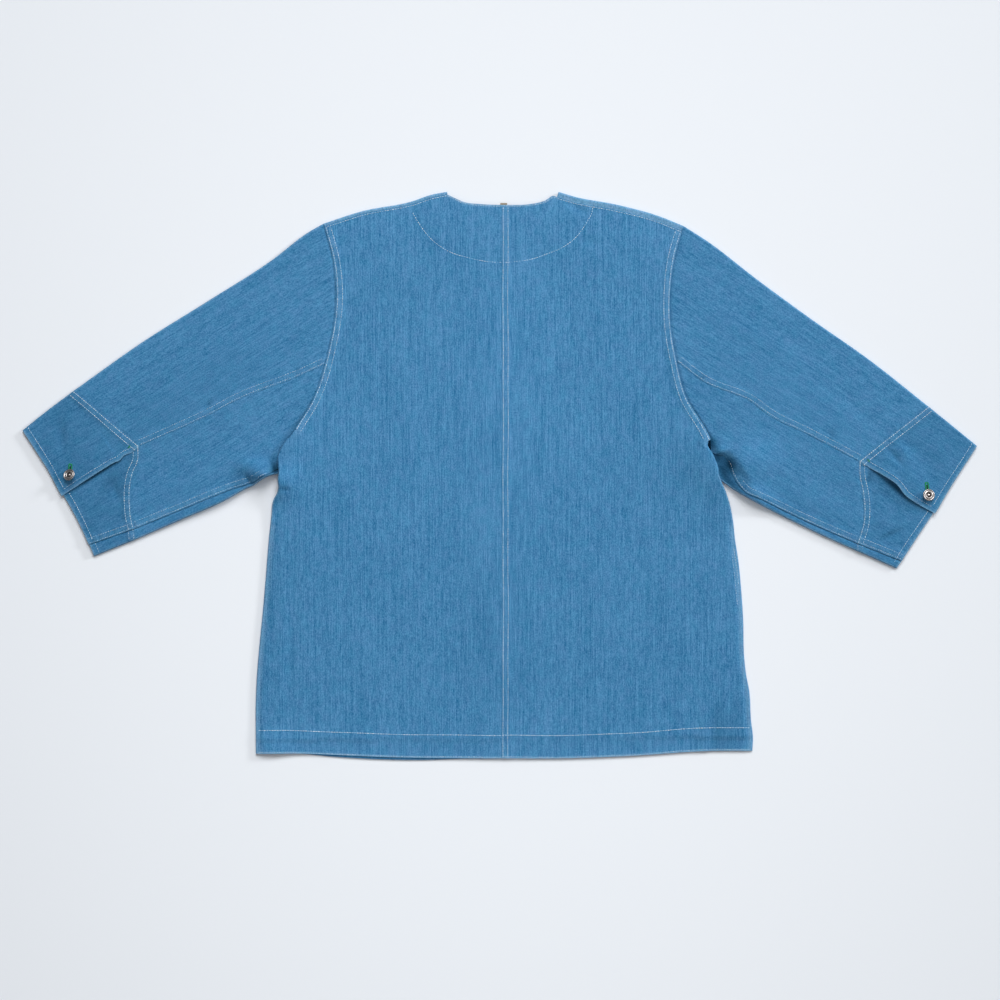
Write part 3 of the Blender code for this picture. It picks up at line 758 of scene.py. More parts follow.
# Shades on the backs are painted light and shade: darker towards the bottom and sides, lighter in the
# middle, at the neck, shoulders and hem, and painted shadow in the right hem corner, beside the armpits and
# in a small crease
add_creases(
    "back",
    (-247, 48, 64, 42, 14, 2.2, 0, 34),
    (252, 36, 113, 50, 36, 2.6, 0, 14),
    (0, 40, 90, 220, 130, 0.5),
    (0, -220, 0, 460, 150, 0, -0.055),
    (6, 160, 90, 120, 55, 0, 0.07),
    (0, 325, 0, 210, 30, 0, 0.03),
    (190, 10, 100, 90, 55, 0, -0.06),
    (-264, -110, 90, 110, 20, 0, -0.06),
    (264, -52, 90, 45, 22, 0, -0.07),
    (268, -312, 90, 40, 20, 0, -0.22),
    (5, -40, 90, 420, 40, 0.8),
    (246, -318, 88, 46, 7, 1.1),
    (255, -324, 88, 36, 4.5, -1.2),
    (-257, -16, 170, 6, 2.2, -1.5, -0.3),
    (258, 12, 113, 34, 30, 4.0, 0, 10),
    (-262, 22, 70, 34, 9, 2.6, 0, 26),
    (-268, -6, 95, 20, 10, 10, 0, 22),
    (92, 322, 150, 17, 4.5, -0.8),
    (107, 281, 160, 16, 5, -0.5),
    (-250, -190, 88, 90, 8, -0.7),
    (-262, -210, 88, 90, 7, 0.5),
    (282, -262, 84, 60, 9, -0.7),
    (-120, 60, 80, 110, 22, 0.5),
    (130, 120, 100, 100, 20, 0.5),
    (-60, -160, 92, 120, 26, -0.4),
    (120, -150, 86, 120, 24, 0.4),
    (-170, 230, 20, 60, 14, 0.5),
    (165, 235, 160, 55, 14, 0.4),
    (-150, 300, 14, 90, 28, 0, 0.05),
    (158, 300, 165, 90, 28, 0, 0.05),
    (-272, -331, 0, 26, 18, 3.6),
    (0, -322, 0, 420, 18, 0, 0.07),
    (-258, 20, 70, 20, 10, 0, -0.12),
)


def body_edges(half):
    """Puts the edges that a back shares with its sleeve, the other back and its front into its lines."""
    lines, cut = half.lines, half.cut
    underarm, shoulder = lines["sleeve_low"][0, :2], lines["sleeve_high"][0, :2]
    armhole = smooth([underarm, *cut["armhole"], shoulder])
    length = length_of(armhole)
    lines["seat_share"], lines["wrap_share"] = half.seat / length, 1 - half.wrap / length
    lines["crossing"] = share_of(armhole, cut["back_seam"][0])
    lines["whole_armhole"] = armhole
    lines["armhole"] = spaced(armhole, np.linspace(0, lines["wrap_share"], SEAM_POINTS))
    felled_shares = np.linspace(half.roll / length, lines["wrap_share"], SEAM_POINTS)
    lines["felled_armhole"] = spaced(armhole, felled_shares)
    lines["shoulder_seam"][-1] = lines["armhole"][-1]
    lines["neck"] = smooth([lines["shoulder_seam"][0], *cut["neck"], (CENTRE_BACK, CENTRE_NECK_Y)])
    corner = lines["body_low"][0, :2]
    lines["back_hem"] = smooth([corner, *cut["back_hem"], (CENTRE_BACK, CENTRE_HEM_Y)])
    lines["centre"] = np.array([(CENTRE_BACK, CENTRE_HEM_Y), (CENTRE_BACK, CENTRE_NECK_Y)], float)
    lines["facing"] = smooth([*cut["facing"], CENTRE_FACING])
    lines["side_fold"] = lines["body_low"][lines["body_low"][:, 1] < FOLD_TOP, :2]


def back_net(half):
    """Net of a back: from the centre back to the armhole, folded down along the side."""
    lines, name = half.lines, f"back_{half.name}"
    side = stepped(lines["body_low"][:, :2], BACK_CELL, (1, 0))
    outer = chain(side, stepped(lines["armhole"], BACK_CELL, (0, 1)))
    top = chain(
        stepped(lines["neck"][::-1], BACK_CELL, (1, 0)), stepped(lines["shoulder_seam"], BACK_CELL, (0, 1))
    )
    hem = spaced(lines["back_hem"][::-1], along(top))
    plan = fill(hem, top, spaced(lines["centre"], along(outer)), outer)
    height, worn, tone = lay(name, plan, BACK_LEVEL)
    net = raised(plan, height)
    folds = len(SIDE_FOLD)
    net = np.concatenate([net, np.full((len(net), folds, 3), np.nan)], axis=1)
    tone = np.concatenate([tone, np.repeat(tone[:, -1:], folds, axis=1)], axis=1)
    # The side fold is paler: wear, and painted light on its rounded edge where it falls into shade
    worn = np.concatenate([worn, np.full((len(net), folds), half.side_wear)], axis=1)
    low, low_out = on_fold(lines["body_low"], along(side))
    below = lay(f"front_{half.name}", low, FRONT_LEVEL)[0]
    net[: len(side), -folds:] = folded_edge(net[: len(side), -folds - 1], below, low_out, SIDE_FOLD)
    run = along(outer) * length_of(outer)
    run = run - run[len(side) - 1]
    rolled = np.flatnonzero((run > 0) & (run < half.roll))
    out = outward(outer, half.turn)[rolled]
    slit = half.slit * bump_at(half.roll - run[rolled], SLIT_DROP, SLIT_REACH)
    for column in range(-folds - SLIT_COLUMNS, -folds):
        apart = np.linalg.norm(plan[rolled, column + folds] - plan[rolled, -1], axis=1)
        net[rolled, column, :2] -= out * (slit * bump_at(apart, 0, SLIT_EASE))[:, None]
    upper = net[rolled, -folds - 1]
    beneath = lay(f"under_sleeve_{half.name}", upper[:, :2] + out * FOLD_REACH, BACK_LEVEL)[0] + CLOTH / 2
    beneath = np.minimum(beneath, upper[:, 2] - CLOTH / 2)
    worn[rolled, -folds:] = 0
    turn = ROLL_TURN + ROLL_ON * np.clip(run[rolled] / ROLL_START, 0, 1)
    angles = turn[:, None] * np.linspace(ROLL_FIRST, 1, folds)
    net[rolled, -folds:] = folded_edge(upper, beneath, out, angles)
    return net, worn, tone


for half in HALVES:
    body_edges(half)
    centre_kind = "pressed" if half.name == "right" else "level"
    set_seams(
        half, "back", ("felled", "felled_armhole"), (centre_kind, "centre"), ("even", "neck"),
        ("hem", "back_hem"), ("side_fold", "side_fold"), ("plain", "facing"),
    )
for seed, half in enumerate(HALVES):
    net, worn, tone = back_net(half)
    piece = cloth_piece(f"back_{half.name}", net, worn, tone, BODY_DENIM, UPRIGHT, 2 + seed)


# Sleeves
# Two pieces each: a top sleeve that goes round the arm from the back seam to the underarm seam, and an
# under sleeve between them. The armhole and both seams are felled and sewn with two rows.
SLEEVE_CELL = 2.6
# The sleeves' tone is painted a little darker than the body's: painted shade where the light falls off away
# from the middle
SLEEVE_TONE_AND_SHADE = 0.965
SLEEVE_FRONT_CELL = 9
SEAT_EASE = 30
SEAT_POINTS = 12
EDGE_POINTS = 60
LEVEL_MARKS = 10
STRIP_CELLS = 8
TOP_FOLD_RUBBED = 7
TOP_FOLD_WEAR = 0.3
# The low fold of a sleeve or cuff is paler: wear, and painted light on its rounded edge where it falls into
# shade
LOW_FOLD_RUBBED = 6
LOW_FOLD_WEAR_AND_LIGHT = 0.6
LEFT.update({
    "sleeve_axis": (-0.86, -0.51),
    "underarm_seam": [
        (-276, 2.8), (-284, -0.6), (-292, -5.8), (-301.4, -9.4), (-317, -14.4), (-386, -42), (-438, -63),
    ],
    "cuff_seam": [(-432, 36), (-471, 69)],
    "under_cuff_seam": [
        (-432, 36), (-433, 17), (-438.6, 5), (-442, -10), (-442.4, -35), (-440.6, -53), (-438, -63),
    ],
    "front_cuff_seam": [(-470, 28), (-440, -30)],
})
RIGHT.update({
    "sleeve_axis": (0.85, -0.53),
    "underarm_seam": [
        (263, 25.4), (269.6, 24), (274.6, 16), (280, 1.2), (287, -11), (294.4, -19), (312, -27),
        (362.4, -51.4), (428.4, -80.2),
    ],
    "cuff_seam": [(431, 18), (471, 50)],
    "under_cuff_seam": [(431, 18), (431, 0), (435, -19), (437, -38), (436, -56), (428.4, -80.2)],
    "front_cuff_seam": [(468, 12), (436, -45)],
})
# Shades on the sleeves are painted light and shade: painted shadow in the hollows, slit and fold at each
# armpit, in small dents, near the cuffs and along the low edges, and painted light on the fold beside the
# right armpit
add_creases(
    "sleeve",
    (-255, 42, 64, 42, 12, -1.3),
    (-400, 75, 33, 90, 48, 0, -0.06),
    (-365, -36, 25, 85, 22, 0, -0.10),
    (-365, -50, 25, 75, 14, 2.4),
    (335, -38, 155, 95, 22, 0, -0.08),
    (-365, 95, 34, 120, 42, 1.3),
    (-405, -25, 25, 70, 14, 0.8),
    (-350, 84, 75, 7, 2.8, -1.3, -0.12),
    (-245, 124, 60, 7, 2.8, -1.3, -0.12),
    (-301, -4, 132, 8, 2.8, -2.0, -0.25),
    (-269, 7.5, 95, 11, 6, -2.6, -0.75),
    (-277, 14, 60, 12, 9, 0, -0.16),
    (-255.5, 29, 63, 30, 4.5, -1.2, -0.55),
    (-281, 1, 160, 23, 12, 15, -0.06),
    (-322, -26, 27, 48, 14, 3.0),
    (-440, 75, 40, 26, 26, 0, -0.05),
    (-300, 160, 25, 50, 12, 0.5),
    (-430, 95, 35, 40, 10, -0.5),
    (-340, 20, 30, 40, 10, 0.5),
    (-290, 205, 50, 40, 11, -0.4),
    (262, 30, 113, 46, 14, -1.1),
    (372, 75, 144, 120, 42, 1.3),
    (395, -40, 155, 70, 14, 0.8),
    (276, 13.5, 116, 12, 7, -2.0, -0.85, 8),
    (268, 5, 118, 26, 7, 0, -0.70, 7),
    (283, -13, 150, 12, 6, 0, -0.35),
    (259, 36, 100, 9, 6, 0, -0.45),
    (415, -20, 120, 32, 26, 0, -0.06),
    (292, -2, 140, 42, 24, 0, -0.08),
    (294, 9, 123, 26, 9, 8.0, 0, 38),
    (302, -23, 150, 28, 14, 7.5),
    (263, 29, 198, 11, 3.5, 3.5, 0, 14),
    (263, 21.5, 12, 10, 4.5, -1.0, -0.6),
    (270, 30, 110, 7, 6, 0, 0.22),
    (253.5, 39, 105, 8, 4.0, -1.5, -0.7),
    (241, 115, 55, 7, 3, -1.3, -0.12),
    (397, 47, 80, 8, 3, -1.2, -0.12),
    (300, 170, 150, 50, 12, 0.5),
    (430, 80, 140, 40, 10, -0.5),
    (340, 10, 150, 40, 10, 0.4),
)
# Painted shadow on the lower layer where it shows in the gap by the right armpit's slit
add_creases(
    "arm_front",
    (-380, 60, 30, 70, 16, 0.5),
    (-300, 120, 55, 50, 12, 0.4),
    (390, 40, 150, 70, 16, 0.5),
    (250, 38, 110, 30, 22, 0, -0.95),
    (310, 110, 125, 50, 12, 0.4),
)

SLEEVE_DENIM = denim_material("denim_sleeve", 0.7, 1.0)


def sleeve_edges(half):
    """Puts the seams of a sleeve into the lines of its half."""
    lines, cut = half.lines, half.cut
    whole = lines["whole_armhole"]
    crossing, seat = lines["crossing"], lines["seat_share"]
    lines["seat"] = spaced(whole, np.linspace(0, seat, SEAT_POINTS))
    lines["low_armhole"] = spaced(whole, np.linspace(seat, crossing, EDGE_POINTS))
    high = spaced(whole, np.linspace(crossing, lines["wrap_share"], EDGE_POINTS))
    lines["high_armhole"] = np.vstack([high, lines["sleeve_high"][:1, :2]])
    lines["back_seam"] = smooth([high[0], *cut["back_seam"][1:]])
    lines["underarm_seam"] = smooth([lines["seat"][-1], *cut["underarm_seam"]])
    cuff_high, cuff_low = lines["cuff_high"][0, :2], lines["cuff_low"][0, :2]
    lines["cuff_seam"] = smooth([*cut["cuff_seam"], cuff_high])
    lines["under_cuff_seam"] = smooth(cut["under_cuff_seam"])
    lines["front_cuff_seam"] = smooth([cuff_high, *cut["front_cuff_seam"], cuff_low])
    lines["seat_cuff_seam"] = np.array([cuff_low, cut["underarm_seam"][-1]])


def level_with(fold, seam):
    """Shares of a seam that lie across from points of the fold beside it."""
    marks = np.linspace(0, 1, LEVEL_MARKS)
    across = [share_of(seam, place) for place in spaced(fold, marks)]
    across[0], across[-1] = 0, 1
    return np.interp(along(fold), marks, across)


def tube_net(half, name, part, rows, cells, lift=None):
    """Net of an upper sleeve or cuff piece, from its back edge round the front to the underarm seam."""
    cell, front_cell, ends = cells
    lines = half.lines
    back_edge = stepped(rows["back_edge"], cell, ends)
    shares = along(back_edge)
    high, high_out = on_fold(lines[f"{part}_high"], shares)
    low, low_out = on_fold(lines[f"{part}_low"], shares)
    underarm = spaced(rows["underarm"], level_with(low, rows["underarm"]))
    columns = along(stepped(rows["top"][0], cell, (1, 0)))
    top = fill(spaced(rows["top"][0], columns), spaced(rows["top"][1], columns), back_edge, high)
    columns = along(stepped(rows["front"][0], front_cell))
    front = fill(spaced(rows["front"][0], columns), spaced(rows["front"][1], columns), high, low)
    columns = np.linspace(0, 1, STRIP_CELLS + 1)
    strip = np.linspace(low, underarm, len(columns), axis=1)
    bow = spaced(rows["seat"], columns) - strip[0]
    strip = strip + fade(along(low) * length_of(low), 0, SEAT_EASE)[:, None, None] * bow
    top_height, top_wear_and_light, top_tone_and_shade = lay(name, top, BACK_LEVEL)
    if lift is not None:
        top_height = top_height + lift(top)
    strip_height, strip_wear_and_light, strip_tone_and_shade = lay(name, strip, BACK_LEVEL)
    top, strip = raised(top, top_height), raised(strip, strip_height)
    lower_height, _, lower_tone_and_shade = lay("arm_front", front, FRONT_LEVEL)
    lower = raised(front, lower_height)
    over = folded_edge(top[:, -1], lower[:, 0, 2], high_out, WHOLE_FOLD)
    under = folded_edge(strip[:, 0], lower[:, -1, 2], low_out, WHOLE_FOLD)[:, ::-1]
    net = np.concatenate([top, over, lower[:, 1:-1], under, strip], axis=1)
    tops, strips = top.shape[1], net.shape[1] - strip.shape[1]
    worn = np.zeros(net.shape[:2])
    worn[:, :tops] = top_wear_and_light
    worn[:, tops : tops + TOP_FOLD_RUBBED] = TOP_FOLD_WEAR
    worn[:, strips - LOW_FOLD_RUBBED : strips] = LOW_FOLD_WEAR_AND_LIGHT
    worn[:, strips:] = strip_wear_and_light
    tone = np.ones(net.shape[:2])
    tone[:, :tops] = top_tone_and_shade
    lowers = tops + len(WHOLE_FOLD)
    tone[:, lowers : lowers + lower.shape[1] - 2] = lower_tone_and_shade[:, 1:-1]
    tone[:, strips:] = strip_tone_and_shade
    return net, worn, tone


def under_plan(first_row, last_row, back_edge, underarm, columns):
    """Points in plan of an under piece, from its back edge to the underarm seam."""
    underarm = spaced(underarm, along(back_edge))
    return fill(spaced(first_row, columns), spaced(last_row, columns), back_edge, underarm)


for half in HALVES:
    sleeve_edges(half)
    set_seams(
        half, "top_sleeve", ("pressed", "back_seam"), ("tucked", "high_armhole"), ("flush", "cuff_seam"),
        ("eased", "underarm_seam"),
    )
    set_seams(
        half, "under_sleeve", ("flush", "back_seam"), ("tucked", "low_armhole"),
        ("flush", "under_cuff_seam"), ("felled", "underarm_seam"),
    )
for seed, half in enumerate(HALVES):
    lines = half.lines
    name = f"top_sleeve_{half.name}"
    rows = {
        "top": (lines["high_armhole"], lines["cuff_seam"]),
        "back_edge": lines["back_seam"],
        "front": (lines["front_armhole"][::-1], lines["front_cuff_seam"]),
        "seat": lines["seat"],
        "underarm": lines["underarm_seam"],
    }
    net, worn, tone = tube_net(half, name, "sleeve", rows, (SLEEVE_CELL, SLEEVE_FRONT_CELL, (1, 1)))
    axis = half.cut["sleeve_axis"]
    piece = cloth_piece(name, net, worn, tone * SLEEVE_TONE_AND_SHADE, SLEEVE_DENIM, axis, 4 + seed)
    name = f"under_sleeve_{half.name}"
    back_edge = stepped(lines["back_seam"], SLEEVE_CELL, (1, 1))
    columns = along(stepped(lines["low_armhole"], SLEEVE_CELL, (1, 1)))
    armhole, cuff_seam = lines["low_armhole"][::-1], lines["under_cuff_seam"]
    plan = under_plan(armhole, cuff_seam, back_edge, lines["underarm_seam"], columns)
    height, worn, tone = lay(name, plan, BACK_LEVEL)
    piece = cloth_piece(name, raised(plan, height), worn, tone * SLEEVE_TONE_AND_SHADE, SLEEVE_DENIM, axis, 6 + seed)


# Cuffs
# Deep shaped cuffs of two pieces, felled over the sleeve ends. The upper piece ends in a vent edge that
# laps over the under piece in line with the back seam, and the wrist edges are turned and stitched.
CUFF_CELL = 1.7
CUFF_FRONT_CELL = 7
VENT_UNDERLAP = 18
VENT_DIP = 0.6
VENT_OPENS = 0.25
VENT_HOLD = 0.25
VENT_BOW = (0.5, 0.8)
VENT_REACH = 55
DIP_REACH = 40
WRIST_EASE = 45
# Each cuff's colour is darker, partly in the cloth and partly painted shade where the light falls off
# towards the sides
LEFT.update({
    "cuff_tone": 0.80,
    "wrist": [(-572.3, 54.8), (-534.8, -3.5), (-506.6, -52.2), (-486.2, -96.2)],
    "cuff_underarm": [(-438, -63), (-492, -82)],
    "vent": [
        (-432, 36), (-440, 28.8), (-450.6, 24), (-455.4, 18.6), (-462, 16), (-473.4, 9.2), (-495.4, -4.8),
        (-525, -24),
    ],
})
RIGHT.update({
    "cuff_tone": 0.86,
    "wrist": [(573, 36), (531, -28.4), (499, -76.4), (476.4, -111)],
    "cuff_underarm": [(428.4, -80.2), (482.6, -101.8)],
    "vent": [(431, 18), (444.6, 9.4), (462, -0.8), (476, -10.6), (486, -23), (497, -31), (522, -45)],
})
# Painted shade in a trough on the left cuff
add_creases(
    "cuff",
    (-512, 48, 40, 45, 20, 0.7),
    (-525, 49, 95, 17, 6, -1.1, -0.1),
    (-536, -4, 58, 80, 15, -1.0),
    (512, 32, 140, 45, 20, 0.7),
    (532, -28, 122, 80, 15, -1.0),
)
# The left cuff is made lighter at its tip and along its wrist; painted shade in the right cuff's crease and
# painted light on the ridge beside it
add_creases(
    "cuff_top",
    (-560, 52, 55, 22, 16, 0, 0.12),
    (-542, 18, 57, 40, 10, 0, 0.06),
    (474, 23, 127, 14, 4, -1.8, -0.16),
    (484, 31, 127, 13, 5, 1.2, 0.05),
    (470, -2, 140, 14, 7, 1.2),
)
# Painted shadow beneath the vent edges and in the creases of the under cuffs
add_creases(
    "cuff_under",
    (-467, -8, 55, 16, 9, -0.5, -0.2),
    (-487, -0.8, 32.8, 46, 2.4, -0.3, -0.7),
    (-460, -19, 110, 11, 5, -1.0, -0.12),
    (-475, -30, 60, 14, 6, 0.6),
    (475, -14, 138, 19, 4.5, -0.4, -0.55),
    (443, -4, 60, 10, 4, -1.2, -0.2),
    (452, -14, 60, 9, 4, 0.9),
    (469, -70.6, 26, 16, 3.5, -1.2, -0.2),
    (455, -55, 25, 11, 5, 0.5),
)


def cuff_edges(half):
    """Puts the wrist, vent and underarm edges of a cuff into the lines of its half."""
    lines, cut = half.lines, half.cut
    wrist, vent = smooth(cut["wrist"]), smooth(cut["vent"])
    underarm = smooth(cut["cuff_underarm"])
    vent_share, underarm_share = share_of(wrist, vent[-1]), share_of(wrist, underarm[-1])
    high_share = share_of(wrist, lines["cuff_high"][-1, :2])
    low_share = share_of(wrist, lines["cuff_low"][-1, :2])
    top = spaced(wrist, np.linspace(vent_share, high_share, EDGE_POINTS))
    under = spaced(wrist, np.linspace(vent_share, underarm_share, EDGE_POINTS))
    whole = spaced(wrist, np.linspace(high_share, low_share, EDGE_POINTS))
    slip = fade(along(top) * length_of(top), 0, WRIST_EASE)[:, None]
    top = top + slip * (vent[-1] - top[0])
    top[-1] = whole[0] = lines["cuff_high"][-1, :2]
    whole[-1] = lines["cuff_low"][-1, :2]
    under[-1] = underarm[-1]
    lines.update({"vent": vent, "cuff_underarm": underarm, "wrist_top": top, "wrist_whole": whole})
    lines["wrist_strip"] = np.array([underarm[-1], whole[-1]])
    across = unit(top[-1] - top[0])
    opened = np.clip((along(vent) - VENT_OPENS) / (1 - VENT_OPENS), 0, 1)
    lines["underlap"] = vent + VENT_UNDERLAP * opened[:, None] * across
    under[0] = lines["underlap"][-1]
    lines["wrist_under"] = under


def beside_far(plan, line):
    """Distance of points from a line and how far along it they are, at any distance."""
    way = unit(line[-1] - line[0])
    apart, run = beside(plan, line)
    straight = np.abs((plan - line[0]) @ aside(way))
    far = apart == FAR
    run = np.where(far, (plan - line[0]) @ way, run)
    return np.where(far, np.maximum(straight, SEAM_REACH), apart), run


def vent_lift(half, rise, reach):
    """Height that a cuff piece gains beside its vent, where the upper piece lies on the under one."""
    vent = half.lines["vent"]
    length = length_of(vent)

    def lift(plan):
        apart, run = beside_far(plan, vent)
        share = np.clip(run / length, 0, 1)
        opened = np.clip(share / VENT_OPENS, 0, 1)
        bow = VENT_BOW[0] + VENT_BOW[1] * np.sin(np.pi * share) ** 2
        return rise * fade(apart, VENT_HOLD * reach, reach) * opened * bow

    return lift


for half in HALVES:
    cuff_edges(half)
    set_seams(
        half, "cuff_top", ("felled", "cuff_seam"), ("felled", "seat_cuff_seam"), ("turned", "wrist_top"),
        ("turned", "wrist_strip"), ("even", "vent"), ("eased", "cuff_underarm"),
    )
    set_seams(
        half, "cuff_under", ("felled", "under_cuff_seam"), ("turned", "wrist_under"),
        ("felled", "cuff_underarm"),
    )
LIFTS = {}
for seed, half in enumerate(HALVES):
    lines = half.lines
    name = f"cuff_top_{half.name}"
    rows = {
        "top": (lines["cuff_seam"], lines["wrist_top"]),
        "back_edge": lines["vent"],
        "front": (lines["front_cuff_seam"], lines["wrist_whole"]),
        "seat": lines["seat_cuff_seam"],
        "underarm": lines["cuff_underarm"],
    }
    LIFTS[name] = vent_lift(half, half.vent_rise, VENT_REACH)
    net, worn, tone = tube_net(half, name, "cuff", rows, (CUFF_CELL, CUFF_FRONT_CELL, (1, 1)), LIFTS[name])
    axis = half.cut["sleeve_axis"]
    piece = cloth_piece(name, net, worn, tone * half.cut["cuff_tone"], SLEEVE_DENIM, axis, 8 + seed)
    name = f"cuff_under_{half.name}"
    edge = stepped(lines["underlap"], CUFF_CELL, (1, 1))
    columns = along(stepped(lines["under_cuff_seam"], CUFF_CELL, (0, 1)))
    plan = under_plan(
        lines["under_cuff_seam"], lines["wrist_under"], edge, lines["cuff_underarm"], columns
    )
    height, worn, tone = lay(name, plan, BACK_LEVEL)
    LIFTS[name] = vent_lift(half, -VENT_DIP, DIP_REACH)
    net = raised(plan, height + LIFTS[name](plan))
    piece = cloth_piece(name, net, worn, tone * half.cut["cuff_tone"], SLEEVE_DENIM, axis, 10 + seed)


# Topstitching
# Off-white cotton thread, sewn by machine through every felled seam, hem and edge. Each stitch lies
# on the cloth and dips into it at both ends.
STITCH_PITCH = 3.1
STITCH_LENGTH = 2.5
STITCH_SIDES = 6
# Rings of each stitch: share of its length, then its width and its rise in radii of the thread
STITCH_RINGS = (
    (0.0, 0.55, -0.5), (0.2, 0.95, 0.35), (0.5, 1.0, 0.6), (0.8, 0.95, 0.35), (1.0, 0.55, -0.5),
)
STITCH_WOBBLE = ((0.14, 2.4), (0.1, 0.37))
STITCH_SINK = 0.5
SINK_PACES = (1.7, 0.23)
ROW_STEP = 4
ROW_WANDER = 0.22
WANDER_LENGTHS = (17, 41)
RUN_ON = 6.0
THREAD_TWIST = 9.0


def thread_material(name, colour, dark):
    """Twisted thread, each stitch of its own shade."""
    finish = {"Roughness": 0.75, "Specular IOR Level": 0.3, "Sheen Weight": 0.1}
    material, tree, shader = new_material(name, finish)
    parts = add_node(tree, "ShaderNodeSeparateXYZ", {0: carried(tree, "thread", "Vector")}).outputs
    shade = add_node(tree, "ShaderNodeTexWhiteNoise", {"W": parts["Z"]}, noise_dimensions="1D")
    tree.links.new(mixed_colour(tree, shade.outputs["Value"], dark, colour), shader.inputs["Base Color"])
    turn = maths(tree, "MULTIPLY_ADD", parts["X"], THREAD_TWIST, parts["Y"])
    add_bump(tree, shader, maths(tree, "SINE", turn), strength=0.6, distance=0.0001)
    return material


def ring_quads(rings, sides):
    """Faces between rings of points that follow each other."""
    first, side = np.meshgrid(np.arange(rings - 1) * sides, np.arange(sides), indexing="ij")
    after = (side + 1) % sides
    quads = np.stack([first + side, first + sides + side, first + sides + after, first + after], axis=-1)
    return quads.reshape(-1, 4)


def thread_piece(name, starts, ends, up, radius, material):
    """Mesh of short stitches from start points to end points, arched away from the cloth."""
    way = ends - starts
    length = np.linalg.norm(way, axis=1)[:, None]
    way = way / length
    up = unit(np.array([0, 0, up], float) - way * way[:, 2:] * up)
    side = np.cross(way, up)
    number = np.arange(len(starts))[:, None]
    wobble = sum((size * np.sin(number * pace) for size, pace in STITCH_WOBBLE), 1.0)
    sink = STITCH_SINK * np.sin(number * SINK_PACES[0]) * np.sin(number * SINK_PACES[1])
    points, places = [], []
    for share, width, arch in STITCH_RINGS:
        centre = starts + way * length * share + up * (arch + sink) * radius
        for angle in np.linspace(0, 2 * np.pi, STITCH_SIDES, endpoint=False):
            points.append(centre + radius * width * wobble * (np.cos(angle) * side + np.sin(angle) * up))
            turned = np.full(length.shape, angle)
            places.append(np.concatenate([length * share, turned, number + 0.5], axis=1))
    quads = ring_quads(len(STITCH_RINGS), STITCH_SIDES) + len(points) * number[:, None]
    mesh = new_mesh(name, np.stack(points, axis=1), quads.reshape(-1, 4), material)
    mesh.shade_smooth()
    carry(mesh, "thread", np.stack(places, axis=1))
    piece = add_object(name, mesh)
    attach(piece, "root")


def inside(line, distance, towards):
    """Line that runs beside another at a distance, on the side of a place."""
    left, right = line + outward(line, 1) * distance, line - outward(line, 1) * distance
    place = np.array(towards, float)
    nearer = np.linalg.norm(left - place, axis=1).sum() < np.linalg.norm(right - place, axis=1).sum()
    return left if nearer else right


def cloth_height(name, place, level=BACK_LEVEL):
    """Height of the middle of a piece's cloth at places in plan, with its lift beside a vent."""
    height = lay(name, place, level)[0]
    return height + LIFTS[name](place) if name in LIFTS else height


def stitches_on(name, row, level, up):
    """Start and end points of a row of stitches on one face of a piece."""
    path = row.path
    first = path[0] + unit(path[0] - path[1]) * RUN_ON
    last = path[-1] + unit(path[-1] - path[-2]) * RUN_ON
    path = stepped(np.vstack([first, path, last]), ROW_STEP)
    run = along(path) * length_of(path)
    wander = np.sin(run / WANDER_LENGTHS[0]) + np.sin(run / WANDER_LENGTHS[1] + len(path))
    path = path + outward(path, 1) * ROW_WANDER * wander[:, None]
    length = length_of(path)
    middles = np.arange(RUN_ON + row.start + STITCH_PITCH / 2, length - RUN_ON - row.end, STITCH_PITCH)
    found = []
    for shift in (-STITCH_LENGTH / 2, STITCH_LENGTH / 2):
        place = spaced(path, np.clip((middles + shift) / length, 0, 1))
        found.append(raised(place, cloth_height(name, place, level) + up * CLOTH / 2))
    return found


THREAD = thread_material("topstitch_thread", (0.95, 1.0, 1.0, 1), (0.40, 0.64, 0.84, 1))

# A row stops short of the ends of its path by its start and end, or runs on where those are negative
Row = namedtuple("Row", "path radius start end", defaults=(1.0, 1.0))


def sew(name, rows, level=BACK_LEVEL, up=1):
    """Sews rows of topstitching onto the outer face of a piece, as one piece of thread."""
    sewn = [stitches_on(name, row, level, up) for row in rows]
    starts, ends = (np.concatenate(points) for points in zip(*sewn))
    radius = np.repeat([row.radius for row in rows], [len(stitches[0]) for stitches in sewn])
    thread_piece(f"topstitch_{name}", starts, ends, up, radius[:, None], THREAD)


# Distances of rows from their seams, radii of the thread, and a place on the side of each seam that its
# rows lie on, given for the wearer's right
HEM_ROW = 27.7
EDGE_ROW = 1.4
TURN_ROW = 5.7
WRIST_ROW = 6.9
FULL, EVEN, TURNED, FINE, FAINT = 0.26, 0.22, 0.17, 0.13, 0.12
BODY_SIDE = (120, 0)
ROW_SIDES = {
    "back_seam": (360, 140), "underarm_seam": (350, 20), "cuff_seam": (560, 20),
    "seat_cuff_seam": (560, 20), "vent": (510, 60), "wrist_top": (450, 40), "wrist_strip": (430, -60),
    "under_cuff_seam": (500, -60), "cuff_underarm": (480, -30), "wrist_under": (430, -10),
}
SIDE_SEAM = ([(281, -86), (283.6, -104), (287.4, -132)], [(278.4, -92), (282, -122), (286, -157)])
UNDERARM_STARTS = {"left": (7, 10), "right": (25, 58)}


def rows_beside(half, seam, distances, radius, starts=(1, 1), ends=(1, 1)):
    """Rows of stitches beside a seam of one half."""
    x, y = ROW_SIDES.get(seam, BODY_SIDE)
    paths = [inside(half.lines[seam], distance, (-half.turn * x, y)) for distance in distances]
    return [Row(path, radius, start, end) for path, start, end in zip(paths, starts, ends)]


